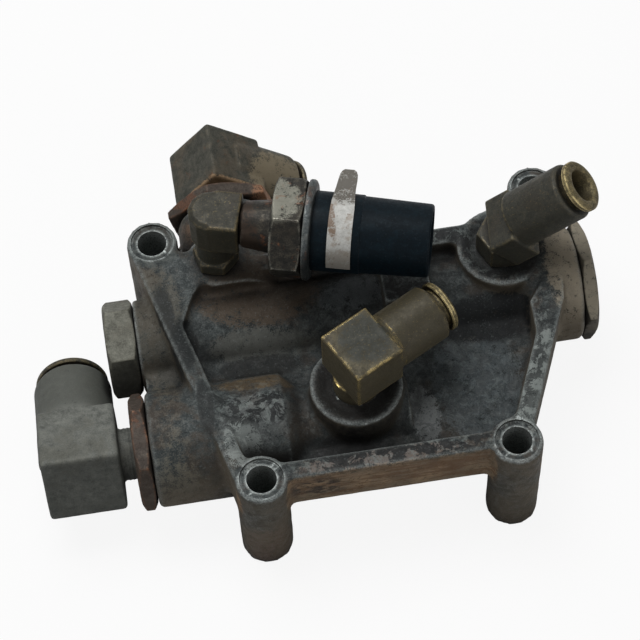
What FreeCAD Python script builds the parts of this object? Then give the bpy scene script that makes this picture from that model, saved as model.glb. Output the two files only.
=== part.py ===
import FreeCAD, Part
import math
import os

os.makedirs("parts", exist_ok=True)

# Frame: origin midway between the back bolt holes on the plane of the feet.
# +X runs along the lateral bores, +Y to the back port, +Z up. Millimetres.

# casting
bodyHeight = 43.0
backBoltSpacing = 120.0
frontBoltSpacing = 76.0
boltRowSpacing = 86.0
boltHoleRadius = 4.5
legRadius = 8.0
legChamfer = 1.0
boltSeatRadius = 6.6
boltSeatDepth = 0.8
floorBottom = 25.0
floorThickness = 6.0
rimWidth = 6.0
rimCornerRadius = 4.0
wallReach = 7.8
frontWallOut = 1.5
frontCornerReach = 6.2
frontCornerRise = 4.8
backCornerReach = 7.2
backCornerDrop = 3.2
backWallBack = 9.5
shoulderOut = 2.0
shoulderX = backBoltSpacing / 2 + shoulderOut
shoulderBack = 40.0
webBack = 30.0
webMiddle = 21.0
webRun = 10.0
webInner = backBoltSpacing / 2 - webRun
rightWebInset = 9.0
rightWebReach = 12.0
rightWebShare = 0.76
boreWebHalf = 6.0

# bore A, the long lateral bore at the back
boreDrop = 18.2
boreHeight = bodyHeight - boreDrop
boreABack = 25.7
boreFaceReach = 9.0
boreARightFace = backBoltSpacing / 2 + boreFaceReach
boreALeftFace = boreARightFace
boreARightRadius = 13.0
boreAMidRadius = 11.5
boreALeftRadius = 10.0
boreAWallRight = 5.0
boreAWallLeft = 4.5
boreALedgeDepth = 14.5
boreALedgeX = boreARightFace - boreALedgeDepth
boreASeatX = 10.0
boreTubeStepX = 52.0
stepSlope = 2.5

# flat pad on top of bore A's tube
padMiddleX = 15.0
padSide = 15.0
padDrop = 0.5

# bore B, the short lateral bore at the front left
boreBBack = 62.3
boreBFaceReach = 9.2
boreBFace = backBoltSpacing / 2 + boreBFaceReach
boreBOuterRadius = 17.7
boreBInnerOuterRadius = 12.4
boreBWideEnd = 28.0
boreBEnd = 10.0

# back port
backPortInset = 23.8
backPortX = backBoltSpacing / 2 - backPortInset
backPortFace = 13.0
backPortOuterRadius = 15.4
backPortHeight = bodyHeight - backPortOuterRadius
airwayRadius = 8.0

# the thread sizes shared by both large adapters
adapterThreadRadius = 12.0
adapterThreadLength = 14.0
adapterHexFlats = 32.0
adapterHexHeight = 5.0
adapterHexTurn = 15.9
faceSealRadius = 14.2
faceSealDepth = 2.0

# top ports: front centre, back right, back left
portFrontX = -5.6
portFrontBack = 59.5
portAngledInset = 13.4
portAngledX = backBoltSpacing / 2 - portAngledInset
portAngledBack = 19.4
portSwitchInset = 19.0
portSwitchX = portSwitchInset - backBoltSpacing / 2
portSwitchBack = 9.2
portBossRadius = 14.2
portThreadRadius = 6.6
portThreadLength = 9.0
portAirwayRadius = 4.5
portDishRadius = 12.6
portSeatRadius = 8.8
portSpotDepth = 1.5
switchBossRadius = 9.5
switchThreadRadius = 4.9
passageRadius = 1.2
passageHeight = floorBottom + floorThickness / 2
passageInset = 2.6

# closing caps
capFlats = 33.0
capHeight = 4.5
capTurn = 11.5
capSkirtLength = 3.0
capCavityRadius = 9.0
capCavityEndRadius = 8.1
capCavityDepth = 5.5
capSealRadius = 15.4
plugFlats = 27.6
plugHeight = 9.5
plugTurn = 17.3
plugShankLength = 11.0
plugSealRadius = 12.0
plugSealDepth = 1.8
hexChamfer = 1.2
hexFaceInset = 0.3

# control piston and its guide
pistonTravel = 3.0
pistonStopGap = 0.4
pistonHeadLength = 4.8
pistonFit = 0.06
pistonStemRadius = 4.0
pistonPocketInner = 5.6
pistonPocketOuter = 9.6
pistonPocketDepth = 3.2
pistonSealWidth = 2.1
pistonSealDepth = 1.6
bushFlange = 1.5
bushLength = 1.0
bushSealWidth = 1.6
bushSealDepth = 1.3
pistonWire = 0.9
pistonCoils = 2.5

# poppet, seat and guide
seatLength = 5.0
seatHoleRadius = 6.0
seatLipHeight = 0.6
seatLipWidth = 0.8
poppetGap = 0.1
poppetRadius = 8.4
poppetLength = 5.5
discThickness = 1.6
discRadius = 7.8
poppetStemRadius = 2.5
poppetStemFit = 0.06
poppetSpringRoom = 16.0
guideThickness = 4.0
guideHoles = 4
guideHoleRadius = 1.9
guideHoleCircle = 6.9
poppetWire = 1.1
poppetSpringRadius = 4.3
poppetCoils = 5.0
circlipThickness = 1.2
circlipDepth = 0.8
circlipWidth = 2.0
pushGap = 0.3

# push-to-connect ends: tube radius and the body's outside radius for each tube size
smallTubeRadius = 4.76
smallBodyRadius = 8.9
largeTubeRadius = 7.94
largeBodyRadius = 12.2
tubeFit = 0.1
colletFit = 0.05
colletWall = 1.1
colletSleeve = 8.0
colletFlange = 2.2
colletGap = 1.8
colletTravel = 1.4
colletStopGap = 0.3
colletFlangeInset = 0.9
sealRoom = 2.2
sealGrooveExtra = 0.6
sealSlack = 0.04
tubeSeatLength = 6.6
supportFlange = 1.0
supportWall = 0.7
supportGap = 1.6
supportReach = 7.0
bodyEdge = 0.8

# large grey elbow on bore B
supplyBlock = 23.8
supplyBlockLong = 23.8
supplyNeckLength = 4.2
supplyNeckRadius = 8.2
supplyDrop = 20.0
supplyArm = 32.2
supplyShift = 1.0
# dark elbow on the back port
serviceBlock = 21.6
serviceBlockLong = 20.8
serviceNeckLength = 3.6
serviceNeckRadius = 7.4
serviceDrop = 40.0
serviceArm = 25.2
serviceShift = 0.5
neckThreadLength = 9.0
neckWall = 2.1
# brass elbow on the front top port
frontBlockAlong = 16.7
frontBlockAcross = 18.5
frontBlockHeight = 16.5
frontBlockTop = 64.5
frontBlockShift = 2.4
frontTurn = 28.0
frontArm = 28.8
frontShoulderRadius = 7.0
# dark bronze 45 degree elbow on the back right port
angledRise = 43.0
angledTurn = -6.0
angledHeight = 53.0
angledArm = 27.2
angledBlockWidth = 18.2
angledBlockBack = 3.0
angledBlockFront = 6.5
angledBlockAbove = 4.6
angledBlockBelow = 8.6
angledNeckFlats = 14.5
# small brass elbow under the switch
switchTurn = -16.0
switchHeight = 64.5
switchBlock = 14.2
switchBlockHeight = 13.6
switchBlockReach = 9.0
switchNeckRadius = 5.6
switchHexFlats = 12.5
switchHexHeight = 5.0

# pressure switch, lengths along its own axis from the small elbow's neck
nippleRadius = 6.9
nippleThreadRadius = 4.6
nippleThreadLength = 5.5
switchHexX = 18.8
switchHexLength = 10.0
switchFlats = 28.2
switchHexTurn = 8.0
switchSocketRadius = 12.6
switchSocketDepth = 4.0
chamberRadius = 9.0
chamberDepth = 2.0
diaphragmThickness = 1.0
collarRadius = 15.2
collarLength = 2.2
housingFit = 0.1
housingFlangeLength = 3.8
barrelStartRadius = 12.0
barrelEndRadius = 11.0
barrelEnd = 66.2
barrelStepX = 45.5
barrelStep = 0.35
contactRoomRadius = 8.0
contactRoomLength = 19.0
webThickness = 3.5
socketRadius = 9.0
plungerRadius = 4.0
plungerThickness = 2.2
plungerTravel = 0.9
contactRadius = 6.6
contactThickness = 0.8
contactGap = 0.4
bladeSpread = 5.0
bladeWidth = 6.3
bladeThickness = 0.8
bladeEnd = 62.0
springWire = 0.6
springCoilRadius = 2.2
springCoils = 6.0
labelWidth = 7.2
labelThickness = 0.3
labelX = 39.6
labelTail = 15.0
labelAngle = 91.0

up = FreeCAD.Vector(0, 0, 1)
right = FreeCAD.Vector(1, 0, 0)
left = FreeCAD.Vector(-1, 0, 0)
back = FreeCAD.Vector(0, 1, 0)
fullTurn = 360.0
quarterTurn = 90.0
hexSides = 6

parts = {}


def point(x, y, z):
    return FreeCAD.Vector(x, y, z)


def placed(shape, origin, direction):
    """Carry a shape built along +Z to an origin and direction."""
    moved = shape.copy()
    moved.Placement = FreeCAD.Placement(origin, FreeCAD.Rotation(up, direction)).multiply(moved.Placement)
    return moved


def turned(profile, origin, direction):
    """Solid of revolution from (distance along the axis, radius) pairs."""
    corners = [point(r, 0, s) for s, r in profile]
    face = Part.Face(Part.makePolygon(corners + corners[:1]))
    return placed(face.revolve(point(0, 0, 0), up, fullTurn), origin, direction)


def rod(radius, start, end, origin, direction):
    return placed(Part.makeCylinder(radius, end - start, point(0, 0, start)), origin, direction)


def hexBar(flats, start, end, turn, chamfer):
    """Hexagon along +Z with its corners chamfered at both ends by a turned blank."""
    radius = flats / 2 / math.cos(math.pi / hexSides)
    angles = [math.radians(turn + k * fullTurn / hexSides) for k in range(hexSides)]
    corners = [point(radius * math.cos(a), radius * math.sin(a), start) for a in angles]
    bar = Part.Face(Part.makePolygon(corners + corners[:1])).extrude(point(0, 0, end - start))
    edge = flats / 2 - hexFaceInset
    blank = turned([(start, 0), (start, edge), (start + chamfer, radius), (end - chamfer, radius),
                    (end, edge), (end, 0)], point(0, 0, 0), up)
    return bar.common(blank)


def ring(majorRadius, minorRadius, along, origin, direction):
    return placed(Part.makeTorus(majorRadius, minorRadius, point(0, 0, along)), origin, direction)


def coil(radius, wire, start, end, turns, origin, direction):
    """Round wire swept up a helix between two end planes."""
    length = end - start - wire
    helix = Part.makeHelix(length / turns, length, radius)
    circle = Part.Wire([Part.makeCircle(wire / 2, point(radius, 0, 0), back)])
    pipe = Part.Wire(helix).makePipeShell([circle], True, True)
    pipe.translate(point(0, 0, start + wire / 2))
    return placed(pipe, origin, direction)


def save(name, shape):
    parts[name] = shape
    shape.exportStep("parts/" + name + ".step")


# places and directions that several pieces share
boreA = point(0, -boreABack, boreHeight)
boreB = point(0, -boreBBack, boreHeight)
backPort = point(-backPortX, 0, backPortHeight)
frontPort = point(portFrontX, -portFrontBack, 0)
angledPort = point(portAngledX, -portAngledBack, 0)
switchPort = point(portSwitchX, -portSwitchBack, 0)
floorTop = floorBottom + floorThickness
spotPlane = bodyHeight - portSpotDepth
backLeft = point(-backBoltSpacing / 2, 0, 0)
backRight = point(backBoltSpacing / 2, 0, 0)
frontLeft = point(-frontBoltSpacing / 2, -boltRowSpacing, 0)
frontRight = point(frontBoltSpacing / 2, -boltRowSpacing, 0)
legs = [backLeft, backRight, frontLeft, frontRight]


def outline():
    """Outer trapezoid of the walls, tangent to the left legs and shouldered at the right."""
    side = frontLeft - backLeft
    outward = point(side.y, -side.x, 0)
    outward.normalize()
    frontEdge = -boltRowSpacing - frontWallOut
    leftBack = backLeft + outward * wallReach
    leftFront = frontLeft + outward * wallReach
    return [leftBack, point(leftFront.x, frontEdge, 0), point(frontRight.x + frontCornerReach, frontEdge, 0),
            frontRight + point(frontCornerReach, frontCornerRise, 0),
            point(shoulderX, -shoulderBack, 0),
            backRight + point(backCornerReach, -backCornerDrop, 0),
            point(backRight.x, -backWallBack, 0), point(backLeft.x, -backWallBack, 0)]


def pocketWire(corners):
    """Outline moved inward by the rim, with rounded corners."""
    wire = Part.makePolygon(corners + corners[:1])
    inner = wire.makeOffset2D(-(rimWidth + rimCornerRadius))
    return inner.makeOffset2D(rimCornerRadius)


def walls():
    corners = outline()
    lifted = [c + point(0, 0, floorBottom) for c in corners]
    outer = Part.Face(Part.makePolygon(lifted + lifted[:1])).extrude(point(0, 0, bodyHeight - floorBottom))
    pocket = Part.Face(pocketWire(corners)).extrude(point(0, 0, bodyHeight))
    pocket.translate(point(0, 0, floorTop))
    return outer.cut(pocket)


def leg(centre):
    return turned([(0, 0), (0, legRadius - legChamfer), (legChamfer, legRadius),
                   (bodyHeight - legChamfer / 2, legRadius), (bodyHeight, legRadius - legChamfer / 2),
                   (bodyHeight, 0)], centre, up)


def tube(radius, start, end, chamfer, origin, direction):
    return turned([(start, 0), (start, radius), (end - chamfer, radius), (end, radius - chamfer), (end, 0)],
                  origin, direction)


def bossUp(centre, radius, low):
    return tube(radius, low, bodyHeight, legChamfer / 2, centre, up)


def upright(corners):
    """Solid on a flat outline, from the underside of the floor to the rim."""
    corners = [c + point(0, 0, floorBottom) for c in corners]
    return Part.Face(Part.makePolygon(corners + corners[:1])).extrude(point(0, 0, bodyHeight - floorBottom))


def cornerWeb():
    """Solid web between the back left leg, the small port boss and the left rim."""
    rimBack = outline()[0] + (outline()[1] - outline()[0]) * (webBack / boltRowSpacing)
    return upright([backLeft, switchPort, point(-webInner, -webMiddle, 0), rimBack + point(rimWidth, 0, 0), rimBack])


def rightWeb():
    """Wider stretch of the right rim beside the back right boss."""
    edge = outline()
    corner, shoulder = edge[3], edge[4]
    low = corner + (shoulder - corner) * rightWebShare
    inner = point(backRight.x - rightWebInset, shoulder.y, 0)
    end = point(backRight.x, shoulder.y + rightWebReach, 0)
    return upright([inner, low - point(rimWidth + bodyEdge * 2, 0, 0), low, shoulder, end])


def boreWeb():
    """Solid metal between the two left bosses, from the wall out to just short of their faces."""
    length = boreALeftFace - legChamfer - webInner
    return Part.makeBox(length, boreBBack - boreABack, boreWebHalf * 2,
                        point(-webInner - length, -boreBBack, boreHeight - boreWebHalf))


def tubePad():
    """Flat square pad that stands on bore A's tube, a little below the rim."""
    return Part.makeBox(padSide, padSide, boreDrop - padDrop,
                        point(padMiddleX - padSide / 2, -boreABack - padSide / 2, boreHeight))


def outsideOfBody():
    rightRadius = boreARightRadius + boreAWallRight
    leftRadius = boreALeftRadius + boreAWallLeft
    pieces = [leg(c) for c in legs]
    pieces.append(tube(rightRadius, boreTubeStepX, boreARightFace, legChamfer, boreA, right))
    pieces.append(turned([(boreTubeStepX - stepSlope, 0), (boreTubeStepX - stepSlope, leftRadius),
                          (boreTubeStepX, rightRadius), (boreTubeStepX + legChamfer, rightRadius),
                          (boreTubeStepX + legChamfer, 0)], boreA, right))
    pieces.append(tube(leftRadius, -boreTubeStepX, boreALeftFace, legChamfer, boreA, left))
    pieces.append(tubePad())
    pieces.append(tube(boreBOuterRadius, boreBWideEnd, boreBFace, legChamfer, boreB, left))
    pieces.append(tube(boreBInnerOuterRadius, -boreBEnd, boreBWideEnd + legRadius, legChamfer, boreB, left))
    portStart = -boreABack + leftRadius / 2
    pieces.append(tube(backPortOuterRadius, portStart, backPortFace, legChamfer, backPort, back))
    pieces.append(bossUp(frontPort, portBossRadius, boreHeight))
    pieces.append(bossUp(angledPort, portBossRadius, boreHeight))
    pieces.append(bossUp(switchPort, switchBossRadius, boreHeight))
    pieces.append(cornerWeb())
    pieces.append(boreWeb())
    pieces.append(rightWeb())
    shape = walls()
    for piece in pieces:
        shape = shape.fuse(piece)
    return shape


def boreACuts():
    seal = boreARightFace - faceSealDepth
    leftSeal = boreALeftFace - plugSealDepth
    return [rod(boreALeftRadius, -boreALeftFace - legRadius, boreASeatX, boreA, right),
            rod(boreAMidRadius, boreASeatX, boreALedgeX, boreA, right),
            rod(boreARightRadius, boreALedgeX, boreARightFace + legRadius, boreA, right),
            rod(capSealRadius, seal, boreARightFace + legRadius, boreA, right),
            rod(plugSealRadius, leftSeal, boreALeftFace + legRadius, boreA, left),
            rod(boreALeftRadius + circlipDepth, -circlipX - circlipThickness, -circlipX, boreA, right)]


def portDish(centre):
    """Shallow dish in a top boss with a flat seat for the fitting at its middle."""
    above = bodyHeight + legRadius
    return turned([(spotPlane, 0), (spotPlane, portSeatRadius), (bodyHeight, portDishRadius),
                   (above, portDishRadius), (above, 0)], centre, up)


def portCuts(centre, threadRadius, top, low):
    return [rod(threadRadius, top - portThreadLength, bodyHeight + legRadius, centre, up),
            rod(portAirwayRadius, low, top, centre, up)]


def boreBCuts():
    return [rod(adapterThreadRadius, boreBFace - adapterThreadLength, boreBFace + legRadius, boreB, left),
            rod(faceSealRadius, boreBFace - faceSealDepth, boreBFace + legRadius, boreB, left),
            rod(airwayRadius, -boreBEnd / 2, boreBFace, boreB, left)]


def backPortCuts():
    outside = backPortFace + legRadius
    return [rod(adapterThreadRadius, backPortFace - adapterThreadLength, outside, backPort, back),
            rod(faceSealRadius, backPortFace - faceSealDepth, outside, backPort, back),
            rod(airwayRadius, -boreABack, backPortFace, backPort, back)]


def passageCut():
    """Control airway inside the floor, from bore B to the chamber behind the piston head."""
    start = point(portFrontX + airwayRadius / 2, -portFrontBack, passageHeight)
    end = point(headEnd + passageRadius, -boreABack - boreARightRadius + passageInset, passageHeight)
    run = end - start
    return placed(Part.makeCylinder(passageRadius, run.Length), start, run)


def bodyCasting():
    shape = outsideOfBody()
    cuts = boreACuts() + boreBCuts() + backPortCuts() + [passageCut()]
    cuts += portCuts(frontPort, portThreadRadius, spotPlane, boreHeight)
    cuts += portCuts(angledPort, portThreadRadius, spotPlane, boreHeight)
    cuts += portCuts(switchPort, switchThreadRadius, bodyHeight, boreHeight)
    for centre in (frontPort, angledPort):
        cuts.append(portDish(centre))
    for centre in legs:
        cuts.append(rod(boltHoleRadius, -legRadius, bodyHeight + legRadius, centre, up))
        cuts.append(rod(boltSeatRadius, bodyHeight - boltSeatDepth, bodyHeight + legRadius, centre, up))
    for cut in cuts:
        shape = shape.cut(cut)
    save("body_casting", shape)


# lengths inside bore A, measured along +X from the frame's origin
seatLipX = boreASeatX - seatLipHeight
discX = seatLipX - poppetGap
poppetX = discX - poppetLength
guideX = poppetX - poppetSpringRoom
circlipX = -(guideX - guideThickness)
bushX = boreALedgeX + bushFlange
pistonHeadX = bushX + pistonTravel + pistonStopGap
headEnd = pistonHeadX + pistonHeadLength


def faceRing(outer, inner, depth, face, origin, direction):
    """O-ring that fills a face recess between a shank and the recess wall."""
    minor = min((outer - inner) / 2, depth / 2)
    return ring((outer + inner) / 2, minor, face - depth + minor, origin, direction)


def rightCap():
    face = boreARightFace
    cap = placed(hexBar(capFlats, face, face + capHeight, capTurn, hexChamfer), boreA, right)
    skirt = rod(boreARightRadius, face - capSkirtLength, face, boreA, right)
    cavity = turned([(face - capSkirtLength, 0), (face - capSkirtLength, capCavityRadius),
                     (face - capSkirtLength + capCavityDepth, capCavityEndRadius),
                     (face - capSkirtLength + capCavityDepth, 0)], boreA, right)
    save("right_cap", cap.fuse(skirt).cut(cavity))
    save("right_cap_oring", faceRing(capSealRadius, boreARightRadius, faceSealDepth, face, boreA, right))


def controlPiston():
    headRadius = boreARightRadius - pistonFit
    groove = pistonHeadX + (pistonHeadLength - pistonSealWidth) / 2
    nose = discX + pushGap
    profile = [(nose, 0), (nose, pistonStemRadius), (pistonHeadX, pistonStemRadius),
               (pistonHeadX, pistonPocketInner), (pistonHeadX + pistonPocketDepth, pistonPocketInner),
               (pistonHeadX + pistonPocketDepth, pistonPocketOuter), (pistonHeadX, pistonPocketOuter),
               (pistonHeadX, headRadius), (groove, headRadius), (groove, headRadius - pistonSealDepth),
               (groove + pistonSealWidth, headRadius - pistonSealDepth), (groove + pistonSealWidth, headRadius),
               (headEnd, headRadius), (headEnd, 0)]
    save("control_piston", turned(profile, boreA, right))
    minor = pistonSealDepth / 2
    middle = groove + pistonSealWidth / 2
    save("piston_oring", ring(headRadius - pistonSealDepth + minor, minor, middle, boreA, right))
    springRadius = (pistonPocketInner + pistonPocketOuter) / 2
    save("piston_spring", coil(springRadius, pistonWire, bushX, pistonHeadX + pistonPocketDepth,
                               pistonCoils, boreA, right))


def stemBush():
    hole = pistonStemRadius + pistonFit
    groove = boreALedgeX - bushLength + (bushLength + bushFlange - bushSealWidth) / 2
    profile = [(boreALedgeX - bushLength, hole), (boreALedgeX - bushLength, boreAMidRadius),
               (boreALedgeX, boreAMidRadius), (boreALedgeX, boreARightRadius), (bushX, boreARightRadius),
               (bushX, hole), (groove + bushSealWidth, hole), (groove + bushSealWidth, hole + bushSealDepth),
               (groove, hole + bushSealDepth), (groove, hole)]
    save("stem_bush", turned(profile, boreA, right))
    minor = bushSealDepth / 2
    save("stem_oring", ring(hole + minor, minor, groove + bushSealWidth / 2, boreA, right))


def valveSeat():
    profile = [(boreASeatX, seatHoleRadius), (seatLipX, seatHoleRadius),
               (seatLipX, seatHoleRadius + seatLipWidth),
               (boreASeatX, seatHoleRadius + seatLipWidth * 2), (boreASeatX, boreAMidRadius),
               (boreASeatX + seatLength, boreAMidRadius), (boreASeatX + seatLength, seatHoleRadius)]
    save("valve_seat", turned(profile, boreA, right))


def poppet():
    discBack = discX - discThickness
    profile = [(guideX - guideThickness, 0), (guideX - guideThickness, poppetStemRadius),
               (poppetX, poppetStemRadius), (poppetX, poppetRadius), (discX - discThickness / 2, poppetRadius),
               (discX - discThickness / 2, discRadius), (discBack, discRadius), (discBack, poppetStemRadius),
               (discX, poppetStemRadius), (discX, 0)]
    save("poppet", turned(profile, boreA, right))
    disc = turned([(discBack, poppetStemRadius), (discBack, discRadius), (discX, discRadius),
                   (discX, poppetStemRadius)], boreA, right)
    save("poppet_disc", disc)
    save("poppet_spring", coil(poppetSpringRadius, poppetWire, guideX, poppetX, poppetCoils, boreA, right))


def poppetGuide():
    hole = poppetStemRadius + poppetStemFit
    shape = turned([(guideX - guideThickness, hole), (guideX - guideThickness, boreALeftRadius),
                    (guideX, boreALeftRadius), (guideX, hole)], boreA, right)
    step = fullTurn / guideHoles
    for k in range(guideHoles):
        spot = FreeCAD.Rotation(right, step / 2 + step * k).multVec(point(0, guideHoleCircle, 0))
        shape = shape.cut(rod(guideHoleRadius, guideX - guideThickness * 2, guideX + guideThickness,
                              boreA + spot, right))
    save("poppet_guide", shape)
    outer = boreALeftRadius + circlipDepth
    clip = turned([(-circlipX - circlipThickness, outer - circlipWidth), (-circlipX - circlipThickness, outer),
                   (-circlipX, outer), (-circlipX, outer - circlipWidth)], boreA, right)
    mouth = Part.makeBox(circlipThickness * 3, circlipWidth * 2, outer,
                         point(-circlipX - circlipThickness * 2, -boreABack - circlipWidth,
                               boreHeight - outer - circlipWidth))
    save("guide_circlip", clip.cut(mouth))


def leftPlug():
    face = boreALeftFace
    plug = placed(hexBar(plugFlats, face, face + plugHeight, plugTurn, hexChamfer), boreA, left)
    shank = turned([(face - plugShankLength, 0), (face - plugShankLength, boreALeftRadius - hexChamfer),
                    (face - plugShankLength + hexChamfer, boreALeftRadius), (face, boreALeftRadius), (face, 0)],
                   boreA, left)
    hollow = rod(boreALeftRadius / 2, face - plugShankLength, face, boreA, left)
    save("left_plug", plug.fuse(shank).cut(hollow))
    save("left_plug_oring", faceRing(plugSealRadius, boreALeftRadius, plugSealDepth, face, boreA, left))


def adapter(name, neckRadius, face, origin, direction):
    """Hex reducer screwed into a large port; the elbow's neck screws into it."""
    hexagon = hexBar(adapterHexFlats, face, face + adapterHexHeight, adapterHexTurn, hexChamfer)
    shape = placed(hexagon, origin, direction)
    shank = rod(adapterThreadRadius, face - adapterThreadLength + hexChamfer, face, origin, direction)
    shape = shape.fuse(shank)
    shape = shape.cut(rod(neckRadius, face + adapterHexHeight - neckThreadLength, face + adapterHexHeight * 2,
                          origin, direction))
    shape = shape.cut(rod(neckRadius - neckWall, face - adapterThreadLength, face + adapterHexHeight,
                          origin, direction))
    save(name, shape)
    save(name + "_oring", faceRing(faceSealRadius, adapterThreadRadius, faceSealDepth, face, origin, direction))


def tubeEnd(tubeRadius):
    """Depths and radii inside one push-to-connect end, measured inward from its end face."""
    inner = tubeRadius + tubeFit
    sleeve = inner + colletWall
    sealStart = colletSleeve + colletTravel + colletStopGap
    seatStart = sealStart + sealRoom
    return {"inner": inner, "sleeve": sleeve, "sealStart": sealStart, "seatStart": seatStart,
            "seatEnd": seatStart + tubeSeatLength, "groove": sleeve + sealGrooveExtra,
            "airway": inner - supportGap}


def tubeEndCut(tubeRadius, end, throat):
    """Stepped hole along +Z down from the end face to the throat."""
    d = tubeEnd(tubeRadius)
    bore = d["sleeve"] + colletFit
    return turned([(throat, 0), (throat, d["airway"]), (end - d["seatEnd"], d["airway"]),
                   (end - d["seatEnd"], d["inner"]), (end - d["seatStart"], d["inner"]),
                   (end - d["seatStart"], d["groove"]), (end - d["sealStart"], d["groove"]),
                   (end - d["sealStart"], bore), (end + bodyEdge, bore), (end + bodyEdge, 0)],
                  point(0, 0, 0), up)


def armSolid(radius, end, start=0):
    return turned([(start, 0), (start, radius), (end - bodyEdge, radius), (end, radius - bodyEdge), (end, 0)],
                  point(0, 0, 0), up)


def collet(name, tubeRadius, bodyRadius, end, origin, direction):
    d = tubeEnd(tubeRadius)
    flange = bodyRadius - colletFlangeInset
    low = end + colletGap
    profile = [(end - colletSleeve, d["inner"]), (end - colletSleeve, d["sleeve"]), (low, d["sleeve"]),
               (low, flange), (low + colletFlange - bodyEdge, flange), (low + colletFlange, flange - bodyEdge),
               (low + colletFlange, d["inner"] + bodyEdge / 2), (low + colletFlange - bodyEdge / 2, d["inner"])]
    save(name, turned(profile, origin, direction))


def tubeSeal(name, tubeRadius, end, origin, direction):
    d = tubeEnd(tubeRadius)
    minor = (d["groove"] - d["inner"]) / 2 - sealSlack
    save(name, ring(d["groove"] - minor, minor, end - (d["sealStart"] + d["seatStart"]) / 2, origin, direction))


def tubeSupport(name, tubeRadius, end, origin, direction):
    d = tubeEnd(tubeRadius)
    low = end - d["seatEnd"]
    hole = d["airway"] - supportWall
    profile = [(low, hole), (low, d["inner"]),
               (low + supportFlange, d["inner"]), (low + supportFlange, d["airway"]),
               (low + supportReach, d["airway"]), (low + supportReach, hole)]
    save(name, turned(profile, origin, direction))


def fittingInserts(prefix, tubeRadius, bodyRadius, end, origin, direction):
    collet(prefix + "_collet", tubeRadius, bodyRadius, end, origin, direction)
    tubeSeal(prefix + "_tube_seal", tubeRadius, end, origin, direction)
    tubeSupport(prefix + "_tube_support", tubeRadius, end, origin, direction)


def squareElbow(block, blockLong, neckRadius, neckLength, reach, middle):
    """Forged 90 degree elbow: screwed neck up +Z from the origin, square block, arm along +X."""
    centre = point(0, 0, middle)
    body = Part.makeBox(block, block, blockLong, point(-block / 2, -block / 2, neckLength))
    edge = block / 2 * math.sqrt(2) - bodyEdge
    body = body.common(rod(edge, neckLength, neckLength + blockLong, point(0, 0, 0), up))
    body = body.fuse(rod(neckRadius, -neckThreadLength + bodyEdge, neckLength, point(0, 0, 0), up))
    body = body.fuse(placed(armSolid(largeBodyRadius, reach), centre, right))
    airway = min(tubeEnd(largeTubeRadius)["airway"], neckRadius - neckWall)
    body = body.cut(placed(tubeEndCut(largeTubeRadius, reach, 0), centre, right))
    return body.cut(rod(airway, -neckThreadLength * 2, middle, point(0, 0, 0), up))


def sideElbow(prefix, block, blockLong, neckRadius, neckLength, reach, shift, mouth, outward, arm):
    """Place an elbow with its neck in an adapter's mouth and its arm in a given direction."""
    middle = neckLength + blockLong / 2 + shift
    body = squareElbow(block, blockLong, neckRadius, neckLength, reach, middle)
    across = outward.cross(arm)
    frame = FreeCAD.Matrix(arm.x, across.x, outward.x, mouth.x, arm.y, across.y, outward.y, mouth.y,
                           arm.z, across.z, outward.z, mouth.z, 0, 0, 0, 1)
    body.Placement = FreeCAD.Placement(frame)
    save(prefix + "_elbow", body)
    fittingInserts(prefix, largeTubeRadius, largeBodyRadius, reach, mouth + outward * middle, arm)


def supplySide():
    adapter("supply_adapter", supplyNeckRadius, boreBFace, boreB, left)
    mouth = boreB + left * (boreBFace + adapterHexHeight)
    drop = math.radians(supplyDrop)
    arm = point(0, math.cos(drop), -math.sin(drop))
    sideElbow("supply", supplyBlock, supplyBlockLong, supplyNeckRadius, supplyNeckLength, supplyArm,
              supplyShift, mouth, left, arm)


def serviceSide():
    adapter("service_adapter", serviceNeckRadius, backPortFace, backPort, back)
    mouth = backPort + back * (backPortFace + adapterHexHeight)
    drop = math.radians(serviceDrop)
    arm = point(math.cos(drop), 0, -math.sin(drop))
    sideElbow("service", serviceBlock, serviceBlockLong, serviceNeckRadius, serviceNeckLength, serviceArm,
              serviceShift, mouth, back, arm)


def frontElbow():
    turn = math.radians(frontTurn)
    arm = point(math.cos(turn), math.sin(turn), 0)
    bottom = frontBlockTop - frontBlockHeight
    armHeight = frontBlockTop - frontBlockAcross / 2
    block = Part.makeBox(frontBlockAlong, frontBlockAcross, frontBlockHeight,
                         point(-frontBlockAlong / 2 + frontBlockShift, -frontBlockAcross / 2, bottom))
    shoulder = rod(frontShoulderRadius, spotPlane, bottom, point(0, 0, 0), up)
    thread = rod(portThreadRadius, spotPlane - portThreadLength + bodyEdge, spotPlane, point(0, 0, 0), up)
    body = block.fuse(shoulder).fuse(thread)
    body = body.fuse(placed(armSolid(smallBodyRadius, frontArm), point(0, 0, armHeight), right))
    body = body.cut(placed(tubeEndCut(smallTubeRadius, frontArm, 0), point(0, 0, armHeight), right))
    airway = tubeEnd(smallTubeRadius)["airway"]
    body = body.cut(rod(airway, spotPlane - portThreadLength * 2, armHeight, point(0, 0, 0), up))
    body.Placement = FreeCAD.Placement(frontPort, FreeCAD.Rotation(up, frontTurn))
    save("front_elbow", body)
    fittingInserts("front", smallTubeRadius, smallBodyRadius, frontArm, frontPort + up * armHeight, arm)


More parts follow.
